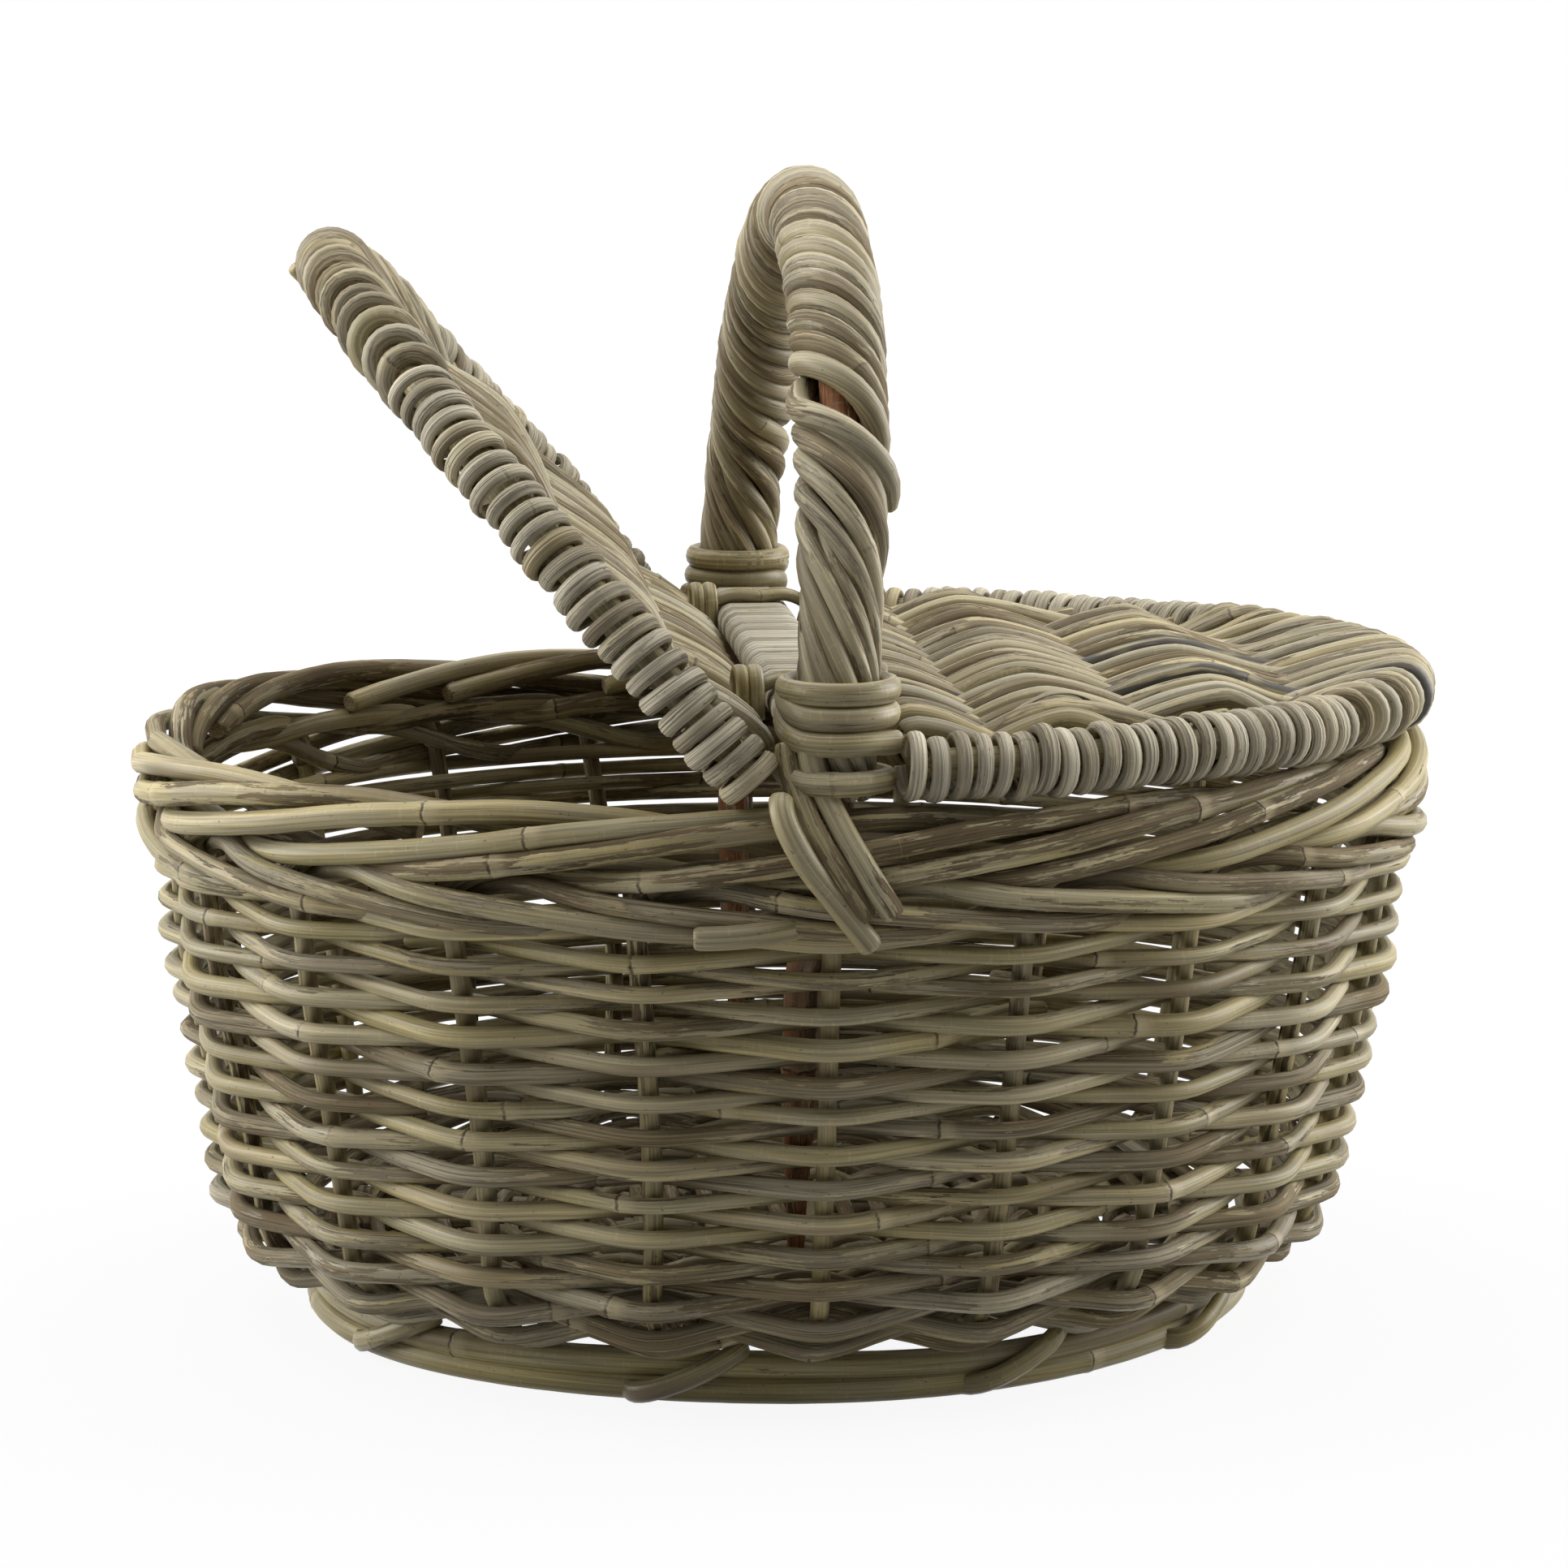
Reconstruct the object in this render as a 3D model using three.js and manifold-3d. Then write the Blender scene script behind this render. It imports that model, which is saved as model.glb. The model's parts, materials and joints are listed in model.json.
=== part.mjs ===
// A lidded oval picnic basket of rattan: a woven body on a foot ring, a wrapped hoop handle
// whose core runs down into the wall, a wrapped cross bar under the handle, and two half lids
// that turn on cane straps laid over that bar. Millimetres, +Z up, long axis along X, front at -Y.
// The origin is under the middle of the basket, on the surface that it stands on.
import * as THREE from 'three';
import { mergeVertices } from 'three/addons/utils/BufferGeometryUtils.js';
import Module from 'manifold-3d';

const wasm = await Module();
wasm.setup();

// Fits
const CLEARANCE = 0.3; // between pieces that touch
const WINDING_CLEARANCE = 0.4; // between the turns of a winding, and round what it binds

// Body
const RIM_LENGTH = 480;
const RIM_WIDTH = 400;
const RIM_HEIGHT = 221;
const FOOT_LENGTH = 350;
const FOOT_WIDTH = 293;
const SHOULDER_LENGTH = 426; // outside of the wall where the round bottom corner ends
const SHOULDER_WIDTH = 356;
const SHOULDER_HEIGHT = 50;
const WALL_THICKNESS = 18;
const BASE_THICKNESS = 14;
const SIDING_ROWS = 17;
const SIDING_RELIEF = 4.4; // from the front of a weaver to where it goes behind a stake
const TOP_WALE_HEIGHT = 28;
const BORDER_HEIGHT = 33;
const BORDER_THICKNESS = 22;
const BORDER_ROUNDING = 7;
const FOOT_ROD_DIAMETER = 9.7;
const STAKE_COUNT = 20;
const STAKE_DIAMETER = 6.8;
const STAKE_LOW_TURN = 20; // degrees up the bottom corner where a stake starts
const STAKE_IN_BORDER = 17; // how far a stake stands up into the border
const TIE_PLACES = [-146, -105, -66, -33, 60, 120]; // degrees round the foot, 0 at +X
const TIE_DIAMETER = 5;
const TIE_SLANT = 30; // how far a tie runs along the ring as it crosses the two rods

// Handle
const HANDLE_TOP = 420;
const HANDLE_LEAN = 8; // the top of the hoop stands this far towards +X
const CORE_DIAMETER = 14;
const CORE_TO_STAKE = 2.6; // in the wall, between the core and the stake outside it
const CORE_LOW = 60;
const STRAND_COUNT = 4;
const STRAND_DIAMETER = 7.2;
const STRAND_TURNS = 6;
const STRAND_ALLOWANCE = 1.3; // off the core, because a strand's turns have flats
const LASH_DIAMETER = 7.4;
const LASH_TURNS = 3.55;
const LASH_ALLOWANCE = 0.8; // off the strands, because a lashing's turns have flats
const LASH_DROP_START = 0.05; // part of a turn, from the outside of the leg
const LASH_DROP_SPAN = 0.31; // part of a turn in which a lashing changes height

// Cross bar
const BAR_WIDTH = 26;
const BAR_THICKNESS = 8;
const BAR_CHAMFER = 2.4;
const BAR_WRAP_LOOPS = 18;
const BAR_WRAP_WIDTH = 9;
const BAR_WRAP_THICKNESS = 1.2;

// Lids and hinges
const RAIL_TO_LASHING = 2.3;
const LID_INSET = 2; // a lid's edge stands this far inside the border's edge
const LID_SEAT_GAP = 0.5;
const LID_OPEN_ANGLE = 48.5; // left lid, as it stands
const LID_RIM_DIAMETER = 11.2;
const RAIL_DIAMETER = 11;
const RIB_DIAMETER = 6.4;
const RIB_PLACES = [51, 114]; // from the rail
const LID_WEAVE_THICKNESS = 16;
const LID_ROW_PITCH = 8;
const LID_RELIEF = 3.8; // from the top of a weaver to where it goes under a rib
const LID_WRAP_LOOPS = 22;
const LID_WRAP_WIDTH = 5.6;
const LID_WRAP_THICKNESS = 3.4;
const LID_WRAP_ALLOWANCE = 1.45; // off the rim rod, because a wrap's turns have flats
const LID_WRAP_START = 14; // from the rail to the first turn
const LID_RIM_END_ROOM = 1.4; // between the slanting ends of the rim rod and the rail
const WEAVE_TO_LASHING = 3.2; // the weave goes round the rail as far as this from the lashings
const STRAP_FROM_LEG = 69; // from the middle of a handle leg, along the bar
const STRAP_WIDTH = 12;
const STRAP_THICKNESS = 4.6;
const STRAP_HOOK_START = 110; // degrees round the rail, from level
const STRAP_HOOK_END = -60;
const STRAP_ROOM = 8; // beside a strap, in the lid's weave
const STRAP_SWING_ROOM = 20; // from the rail to the weave beside a strap
const BINDING_DIAMETER = 3.4;
const BINDING_TURNS = 2;
const BINDING_PLACE = 0.56; // part of the strap's slope between bar and rail

// Facets
const OVAL_STEPS = 36;
const ROD_SIDES = 5;
const LOOP_STEPS = 8;
const LASH_STEPS = 16;
const HOOP_STEPS = 20;
const HOOK_STEPS = 6;
const LID_STEPS = 24;
const ARC_LENGTH_STEPS = 3600;
const SMALL_TURN = 1e-3;

const rad = THREE.MathUtils.degToRad;
const lerp = THREE.MathUtils.lerp;

// Finishes
function rattan(color) {
  return new THREE.MeshStandardMaterial({ color, roughness: 0.75, metalness: 0 });
}
const WEAVER_FINISH = 0x8f8467;
const STAKE_FINISH = 0x7d735a;
const LID_FINISH = 0x948a72;
const WRAP_FINISH = 0x9a9280;
const LASH_FINISH = 0x928861;
const CANE_FINISH = 0xa39c8b;
const CORE_FINISH = 0x7c4d30;

const basket = new THREE.Group();

function addPiece(group, name, geometry, color) {
  const mesh = new THREE.Mesh(geometry, rattan(color));
  mesh.name = name;
  group.add(mesh);
}

// Closed surfaces through rings of points

function signedVolume(points, faces) {
  let sum = 0;
  for (let i = 0; i < faces.length; i += 3) {
    const [a, b, c] = [points[faces[i]], points[faces[i + 1]], points[faces[i + 2]]];
    sum += a.dot(new THREE.Vector3().crossVectors(b, c));
  }
  return sum / 6;
}

// A skin over rings that all have as many points: a loop of rings, or a run with two flat ends.
function skin(rings, isLoop) {
  const points = rings.flat();
  const sides = rings[0].length;
  const faces = [];
  const spans = isLoop ? rings.length : rings.length - 1;
  for (let i = 0; i < spans; i++) {
    const here = i * sides;
    const next = ((i + 1) % rings.length) * sides;
    for (let j = 0; j < sides; j++) {
      const k = (j + 1) % sides;
      faces.push(here + j, here + k, next + k, here + j, next + k, next + j);
    }
  }
  if (!isLoop) {
    const last = (rings.length - 1) * sides;
    for (let j = 1; j < sides - 1; j++) {
      faces.push(0, j + 1, j, last, last + j, last + j + 1);
    }
  }
  if (signedVolume(points, faces) < 0) faces.reverse();
  const geometry = new THREE.BufferGeometry().setFromPoints(points);
  geometry.setIndex(faces);
  geometry.computeVertexNormals();
  return geometry;
}

function tangents(path) {
  return path.map((point, i) => {
    const before = path[Math.max(i - 1, 0)];
    const after = path[Math.min(i + 1, path.length - 1)];
    return after.clone().sub(before).normalize();
  });
}

// Directions square to a path that turn no more than the path does.
function steadyNormals(path) {
  const along = tangents(path);
  const start = Math.abs(along[0].y) < 0.9 ? new THREE.Vector3(0, 1, 0) : new THREE.Vector3(1, 0, 0);
  let normal = start;
  return along.map((tangent) => {
    normal = normal.clone().addScaledVector(tangent, -normal.dot(tangent)).normalize();
    return normal;
  });
}

// A rod with a polygon section along a path. A section point is [along the normal, across it].
function sweep(path, section, normals = steadyNormals(path), across = null) {
  const along = tangents(path);
  const rings = path.map((point, i) => {
    const normal = normals[i].clone().addScaledVector(along[i], -normals[i].dot(along[i])).normalize();
    const beside = across ?? new THREE.Vector3().crossVectors(along[i], normal);
    const up = across ? normals[i] : normal;
    return section.map(([out, side]) => point.clone().addScaledVector(up, out).addScaledVector(beside, side));
  });
  return skin(rings, false);
}

function roundSection(diameter, sides = ROD_SIDES) {
  return Array.from({ length: sides }, (_, i) => {
    const angle = ((i + 0.5) / sides) * 2 * Math.PI;
    return [Math.cos(angle) * diameter / 2, Math.sin(angle) * diameter / 2];
  });
}

function flatSection(thickness, width) {
  const [t, w] = [thickness / 2, width / 2];
  return [[t, -w], [t, w], [-t, w], [-t, -w]];
}

// A winding's ends run on straight for one diameter.
function withStraightEnds(path, normals, run) {
  const last = path.length - 1;
  const head = path[0].clone().addScaledVector(path[0].clone().sub(path[1]).normalize(), run);
  const tail = path[last].clone().addScaledVector(path[last].clone().sub(path[last - 1]).normalize(), run);
  return { path: [head, ...path, tail], normals: [normals[0], ...normals, normals[last]] };
}

// The least gap of a winding to itself, on points: those less than half a turn apart are its own run.
function printLeastGap(name, path, stepsPerTurn, thickness) {
  let least = Infinity;
  for (let i = 0; i < path.length; i++) {
    for (let j = i + Math.ceil(stepsPerTurn / 2); j < path.length; j++) {
      least = Math.min(least, path[i].distanceTo(path[j]));
    }
  }
  console.log(`${name}: least gap to itself ${(least - thickness).toFixed(2)} mm`);
}

function addWinding(group, name, winding, section, stepsPerTurn, thickness, run, color) {
  printLeastGap(name, winding.path, stepsPerTurn, thickness);
  const { path, normals } = withStraightEnds(winding.path, winding.normals, run);
  addPiece(group, name, sweep(path, section, normals, winding.across), color);
}

// Joins and cuts

function toSolid(geometry) {
  const bare = new THREE.BufferGeometry();
  bare.setAttribute('position', geometry.getAttribute('position').clone());
  if (geometry.index) bare.setIndex(geometry.index.clone());
  const merged = mergeVertices(bare, 1e-4);
  const vertProperties = new Float32Array(merged.getAttribute('position').array);
  const triVerts = new Uint32Array(merged.index.array);
  return new wasm.Manifold(new wasm.Mesh({ numProp: 3, vertProperties, triVerts }));
}

function toGeometry(solid) {
  const { vertProperties, triVerts } = solid.getMesh();
  const geometry = new THREE.BufferGeometry();
  geometry.setAttribute('position', new THREE.BufferAttribute(vertProperties, 3));
  geometry.setIndex(new THREE.BufferAttribute(triVerts, 1));
  geometry.computeVertexNormals();
  return geometry;
}

function cut(geometry, tools) {
  let solid = toSolid(geometry);
  for (const tool of tools) solid = solid.subtract(toSolid(tool));
  return toGeometry(solid);
}

// The oval body

function onOval({ length, width, z }, angle) {
  return new THREE.Vector3(length * Math.cos(angle), width * Math.sin(angle), z);
}

function inwards(oval, distance) {
  return { length: oval.length - distance, width: oval.width - distance, z: oval.z };
}

function ovalBand(profile) {
  const rings = Array.from({ length: OVAL_STEPS }, (_, i) => {
    const angle = (i / OVAL_STEPS) * 2 * Math.PI;
    return profile.map((oval) => onOval(oval, angle));
  });
  return skin(rings, true);
}

const footHeight = 2 * FOOT_ROD_DIAMETER + CLEARANCE;
const baseLow = footHeight + CLEARANCE;
const borderLow = RIM_HEIGHT - BORDER_HEIGHT;
const topWaleLow = borderLow - TOP_WALE_HEIGHT;

// The outside of the wall: half its length and width at a height above the shoulder.
function wallAt(z) {
  const share = Math.min((z - SHOULDER_HEIGHT) / (borderLow - SHOULDER_HEIGHT), 1);
  return {
    length: lerp(SHOULDER_LENGTH, RIM_LENGTH, share) / 2,
    width: lerp(SHOULDER_WIDTH, RIM_WIDTH, share) / 2,
    z,
  };
}

// The round bottom corner, from the base (0 degrees) to the shoulder (90); depth 0 is the outside.
function cornerAt(degrees, depth) {
  const reach = Math.sin(rad(degrees));
  const rise = Math.cos(rad(degrees));
  return {
    length: FOOT_LENGTH / 2 + (SHOULDER_LENGTH / 2 - FOOT_LENGTH / 2 - depth * WALL_THICKNESS) * reach,
    width: FOOT_WIDTH / 2 + (SHOULDER_WIDTH / 2 - FOOT_WIDTH / 2 - depth * WALL_THICKNESS) * reach,
    z: SHOULDER_HEIGHT - (SHOULDER_HEIGHT - baseLow - depth * BASE_THICKNESS) * rise,
  };
}

// Angles that part an oval into stretches of one length, the first at the middle of the front.
function evenAngles(oval, count) {
  const fine = ARC_LENGTH_STEPS;
  const lengths = [0];
  let before = onOval(oval, -Math.PI / 2);
  for (let i = 1; i <= fine; i++) {
    const here = onOval(oval, -Math.PI / 2 + (i / fine) * 2 * Math.PI);
    lengths.push(lengths[i - 1] + here.distanceTo(before));
    before = here;
  }
  return Array.from({ length: count }, (_, k) => {
    const want = (k / count) * lengths[fine];
    const i = lengths.findIndex((length) => length >= want);
    return -Math.PI / 2 + (i / fine) * 2 * Math.PI;
  });
}

// Stakes stand in the middle of the wall, from the bottom corner up into the border.
const stakeAngles = evenAngles(wallAt(SHOULDER_HEIGHT), STAKE_COUNT);
const stakeTop = borderLow + STAKE_IN_BORDER;

function stakeRun(angle, extra) {
  const turns = [0, 0.5, 1].map((share) => lerp(STAKE_LOW_TURN, 90, share));
  const heights = [borderLow, stakeTop + extra];
  const low = turns.map((degrees, i) => cornerAt(degrees - (i === 0 ? 2 * extra : 0), 0.5));
  const high = heights.map((z) => inwards(wallAt(z), WALL_THICKNESS / 2));
  return [...low, ...high].map((oval) => onOval(oval, angle));
}

function stake(angle) {
  return sweep(stakeRun(angle, 0), roundSection(STAKE_DIAMETER));
}

// The square way that a stake stands in, with one side along the wall's face.
function stakeChannel(angle) {
  const size = STAKE_DIAMETER + 2 * CLEARANCE;
  const path = stakeRun(angle, CLEARANCE);
  const outward = new THREE.Vector3(SHOULDER_WIDTH * Math.cos(angle), SHOULDER_LENGTH * Math.sin(angle), 0);
  return sweep(path, flatSection(size, size), path.map(() => outward.clone().normalize()));
}

// The handle's hoop: half an oval in a plane that leans towards +X. Turn 0 is at the front.
const strandRadius = CORE_DIAMETER / 2 + STRAND_ALLOWANCE + STRAND_DIAMETER / 2;
const handleRadius = strandRadius + STRAND_DIAMETER / 2;
const coreInset = (WALL_THICKNESS + STAKE_DIAMETER + CORE_DIAMETER) / 2 + CORE_TO_STAKE;
const hoopSpan = RIM_WIDTH / 2 - coreInset;
const hoopRise = HANDLE_TOP - handleRadius - RIM_HEIGHT;
const hoopSide = new THREE.Vector3(hoopRise, 0, -HANDLE_LEAN).normalize();

function hoopAt(turn) {
  const rise = Math.sin(turn);
  return new THREE.Vector3(HANDLE_LEAN * rise, -hoopSpan * Math.cos(turn), RIM_HEIGHT + hoopRise * rise);
}

function hoopTurnAtHeight(z) {
  return Math.asin((z - RIM_HEIGHT) / hoopRise);
}

// The core follows the inside of the wall up to the rim, then the hoop.
function coreRun() {
  const inWall = [CORE_LOW, lerp(CORE_LOW, borderLow, 0.5), borderLow].map((z) => {
    return new THREE.Vector3(0, -(wallAt(z).width - coreInset), z);
  });
  const hoop = Array.from({ length: HOOP_STEPS + 1 }, (_, i) => hoopAt((i / HOOP_STEPS) * Math.PI));
  const back = inWall.map((point) => new THREE.Vector3(point.x, -point.y, point.z)).reverse();
  return [...inWall, ...hoop, ...back];
}

function handleCore(growth) {
  return sweep(coreRun(), roundSection(CORE_DIAMETER + 2 * growth, 8));
}

// Base and foot ring

const baseEdge = { length: FOOT_LENGTH / 2 - CLEARANCE, width: FOOT_WIDTH / 2 - CLEARANCE };

function basePanel() {
  const rim = (z) => Array.from({ length: OVAL_STEPS }, (_, i) => {
    return onOval({ ...baseEdge, z }, (i / OVAL_STEPS) * 2 * Math.PI);
  });
  return skin([rim(baseLow), rim(baseLow + BASE_THICKNESS)], false);
}

// A foot rod is six-sided with a flat below, so that the basket stands on a flat ring.
function footRod(low) {
  const middle = {
    length: (FOOT_LENGTH - FOOT_ROD_DIAMETER) / 2,
    width: (FOOT_WIDTH - FOOT_ROD_DIAMETER) / 2,
  };
  const reach = FOOT_ROD_DIAMETER / 2 / Math.cos(Math.PI / 6);
  const profile = Array.from({ length: 6 }, (_, i) => {
    const out = reach * Math.cos(i * Math.PI / 3);
    return { length: middle.length + out, width: middle.width + out,
      z: low + FOOT_ROD_DIAMETER / 2 + reach * Math.sin(i * Math.PI / 3) };
  });
  return ovalBand(profile);
}

// A tie lies slantwise over the outside of both foot rods.
function footTie(angle) {
  const reach = FOOT_ROD_DIAMETER / 2 / Math.cos(Math.PI / 6) - FOOT_ROD_DIAMETER / 2;
  const out = reach + CLEARANCE + TIE_DIAMETER / 2;
  const spread = TIE_SLANT / FOOT_LENGTH;
  const heights = [footHeight - TIE_DIAMETER / 2, footHeight / 2, TIE_DIAMETER / 2 + CLEARANCE];
  const path = heights.map((z, i) => {
    const oval = { length: FOOT_LENGTH / 2 + out, width: FOOT_WIDTH / 2 + out, z };
    return onOval(oval, angle + (1 - i) * spread);
  });
  return sweep(path, roundSection(TIE_DIAMETER));
}

addPiece(basket, 'base_panel', basePanel(), WEAVER_FINISH);
addPiece(basket, 'foot_rod_lower', footRod(0), STAKE_FINISH);
addPiece(basket, 'foot_rod_upper', footRod(FOOT_ROD_DIAMETER + CLEARANCE), STAKE_FINISH);
TIE_PLACES.forEach((place, i) => {
  addPiece(basket, `foot_tie_${i + 1}`, footTie(rad(place)), LASH_FINISH);
});

// Woven bands of the wall

function bottomWale() {
  const turns = [0, 30, 60, 90];
  const outside = turns.map((degrees) => cornerAt(degrees, 0));
  const inside = turns.map((degrees) => cornerAt(degrees, 1)).reverse();
  return ovalBand([...outside, ...inside]);
}

// The siding's weavers pass in front of one stake and behind the next, row by row.
function siding(low, high) {
  const angles = evenAngles(wallAt(SHOULDER_HEIGHT), 2 * STAKE_COUNT);
  const rows = Array.from({ length: SIDING_ROWS }, (_, i) => lerp(low, high, (i + 0.5) / SIDING_ROWS));
  const inside = [high, low].map((z) => inwards(wallAt(z), WALL_THICKNESS));
  const rings = angles.map((angle, column) => {
    const atStake = column % 2 === 0;
    const dips = rows.map((_, row) => (atStake ? (column / 2 + row) % 2 : 0.5));
    const outside = [low, ...rows, high].map((z, i) => {
      return inwards(wallAt(z), SIDING_RELIEF * (dips[i - 1] ?? 0.5));
    });
    return [...outside, ...inside].map((oval) => onOval(oval, angle));
  });
  return skin(rings, true);
}

function wallBand(low, high) {
  const outside = [wallAt(low), wallAt(high)];
  const inside = [inwards(wallAt(high), WALL_THICKNESS), inwards(wallAt(low), WALL_THICKNESS)];
  return ovalBand([...outside, ...inside]);
}

function border() {
  const low = wallAt(borderLow + CLEARANCE);
  const top = wallAt(RIM_HEIGHT);
  const soft = BORDER_ROUNDING * (1 - Math.SQRT1_2);
  const outerCorner = [[0, BORDER_ROUNDING], [soft, soft], [BORDER_ROUNDING, 0]];
  const innerCorner = outerCorner.map(([inset, drop]) => [BORDER_THICKNESS - inset, drop]).reverse();
  const shape = [...outerCorner, ...innerCorner];
  const upper = shape.map(([inset, drop]) => ({ ...inwards(top, inset), z: RIM_HEIGHT - drop }));
  return ovalBand([low, ...upper, inwards(low, BORDER_THICKNESS)]);
}

const stakeChannels = stakeAngles.map(stakeChannel);
const channels = [...stakeChannels, handleCore(CLEARANCE)];
addPiece(basket, 'bottom_wale', cut(bottomWale(), stakeChannels), WEAVER_FINISH);
addPiece(basket, 'siding', cut(siding(SHOULDER_HEIGHT + CLEARANCE, topWaleLow), channels), WEAVER_FINISH);
addPiece(basket, 'top_wale', cut(wallBand(topWaleLow + CLEARANCE, borderLow), channels), WEAVER_FINISH);
addPiece(basket, 'border', cut(border(), channels), WEAVER_FINISH);
stakeAngles.forEach((angle, i) => {
  addPiece(basket, `stake_${String(i + 1).padStart(2, '0')}`, stake(angle), STAKE_FINISH);
});

// Handle: core, wrapping strands and a lashing round each leg

addPiece(basket, 'handle_core', handleCore(0), CORE_FINISH);

// A strand stands on the border beside the core, winds along the hoop and comes down the other side.
function handleStrand(phase) {
  const foot = hoopTurnAtHeight(RIM_HEIGHT + CLEARANCE);
  const first = hoopTurnAtHeight(RIM_HEIGHT + CLEARANCE + STRAND_DIAMETER);
  const steps = STRAND_TURNS * LOOP_STEPS;
  const turns = Array.from({ length: steps + 1 }, (_, i) => lerp(first, Math.PI - first, i / steps));
  const stations = [foot, ...turns, Math.PI - foot];
  const normals = [];
  const path = stations.map((turn) => {
    const wound = THREE.MathUtils.clamp((turn - first) / (Math.PI - 2 * first), 0, 1);
    const angle = phase - wound * STRAND_TURNS * 2 * Math.PI;
    const along = hoopAt(turn + SMALL_TURN).sub(hoopAt(turn - SMALL_TURN)).normalize();
    const inPlane = new THREE.Vector3().crossVectors(along, hoopSide);
    const out = hoopSide.clone().multiplyScalar(Math.cos(angle)).addScaledVector(inPlane, Math.sin(angle));
    normals.push(out);
    return hoopAt(turn).addScaledVector(out, strandRadius);
  });
  return { path, normals };
}

for (let i = 0; i < STRAND_COUNT; i++) {
  const { path, normals } = handleStrand((i / STRAND_COUNT) * 2 * Math.PI);
  const name = `handle_strand_${i + 1}`;
  printLeastGap(name, path, LOOP_STEPS, STRAND_DIAMETER);
  addPiece(basket, name, sweep(path, roundSection(STRAND_DIAMETER), normals), LASH_FINISH);
}

// The lashing's heights: two turns pass over the cross bar's end and two below it.
const lashPitch = LASH_DIAMETER + WINDING_CLEARANCE;
const lashBelow = RIM_HEIGHT + CLEARANCE + LASH_DIAMETER / 2;
const barLow = lashBelow + lashPitch + LASH_DIAMETER / 2 + CLEARANCE;
const barMiddle = barLow + BAR_THICKNESS / 2;
const lashAbove = barLow + BAR_THICKNESS + CLEARANCE + LASH_DIAMETER / 2;
const lashOuterHeights = [lashAbove + lashPitch, lashAbove, lashAbove - lashPitch, lashBelow];
const lashInnerHeights = [lashAbove + lashPitch, lashAbove, lashBelow + lashPitch, lashBelow];
const lashRadius = handleRadius + LASH_ALLOWANCE + LASH_DIAMETER / 2;
const lashOuter = lashRadius + LASH_DIAMETER / 2;

// Turns are counted from the outside of the basket: the height changes only at the leg's two sides.
function lashHeight(turns) {
  const k = Math.floor(turns);
  const part = turns - k;
  const drop = (past) => THREE.MathUtils.clamp(past / LASH_DROP_SPAN, 0, 1);
  const inner = lashInnerHeights[k];
  if (part < 0.5) return lerp(lashOuterHeights[k], inner, drop(part - LASH_DROP_START));
  const next = lashOuterHeights[Math.min(k + 1, lashOuterHeights.length - 1)];
  return lerp(inner, next, drop(part - 1 + LASH_DROP_START + LASH_DROP_SPAN));
}

function handleLashing(side) {
  const steps = Math.round((LASH_TURNS - LASH_DROP_START) * LASH_STEPS);
  const normals = [];
  const path = Array.from({ length: steps + 1 }, (_, i) => {
    const turns = lerp(LASH_DROP_START, LASH_TURNS, i / steps);
    const z = lashHeight(turns);
    const leg = hoopAt(hoopTurnAtHeight(z));
    const angle = turns * 2 * Math.PI;
    const out = new THREE.Vector3(-side * Math.sin(angle), side * Math.cos(angle), 0);
    normals.push(out);
    return new THREE.Vector3(leg.x, side * Math.abs(leg.y), z).addScaledVector(out, lashRadius);
  });
  return { path, normals };
}

for (const [name, side] of [['handle_lashing_front', -1], ['handle_lashing_back', 1]]) {
  addWinding(basket, name, handleLashing(side), roundSection(LASH_DIAMETER), LASH_STEPS,
    LASH_DIAMETER, LASH_DIAMETER, LASH_FINISH);
}

// Cross bar: a flat stick whose ends the lashings hold, wrapped with flat cane

function chamferedOutline(halfWidth, halfThickness, chamfer) {
  const [w, t, c] = [halfWidth, halfThickness, chamfer];
  return [[w, t - c], [w - c, t], [c - w, t], [-w, t - c], [-w, c - t], [c - w, -t], [w - c, -t], [w, c - t]];
}

const legAtBar = Math.abs(hoopAt(hoopTurnAtHeight(barMiddle)).y);
const barHalfLength = legAtBar - handleRadius - WINDING_CLEARANCE;
const barWrapHalfLength = legAtBar - lashOuter - BAR_WRAP_WIDTH;

function crossBar() {
  const outline = chamferedOutline(BAR_WIDTH / 2, BAR_THICKNESS / 2, BAR_CHAMFER);
  const ring = (y) => outline.map(([x, z]) => new THREE.Vector3(x, y, barMiddle + z));
  return skin([ring(-barHalfLength), ring(barHalfLength)], false);
}

function barWrap() {
  const lift = WINDING_CLEARANCE + BAR_WRAP_THICKNESS / 2;
  const outline = chamferedOutline(BAR_WIDTH / 2 + lift, BAR_THICKNESS / 2 + lift, BAR_CHAMFER + lift / 2);
  const steps = BAR_WRAP_LOOPS * outline.length;
  const normals = [];
  const path = Array.from({ length: steps + 1 }, (_, i) => {
    const [x, z] = outline[i % outline.length];
    const [px, pz] = outline[(i + outline.length - 1) % outline.length];
    const [nx, nz] = outline[(i + 1) % outline.length];
    normals.push(new THREE.Vector3(nz - pz, 0, px - nx).normalize());
    return new THREE.Vector3(x, lerp(-barWrapHalfLength, barWrapHalfLength, i / steps), barMiddle + z);
  });
  return { path, normals, across: new THREE.Vector3(0, 1, 0) };
}

addPiece(basket, 'cross_bar', crossBar(), CORE_FINISH);
addWinding(basket, 'cross_bar_wrap', barWrap(), flatSection(BAR_WRAP_THICKNESS, BAR_WRAP_WIDTH), LOOP_STEPS,
  BAR_WRAP_WIDTH, BAR_WRAP_THICKNESS, CANE_FINISH);

// Hinges: a double cane laid over the bar hooks round both lids' rails, and is bound beside the bar

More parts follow.
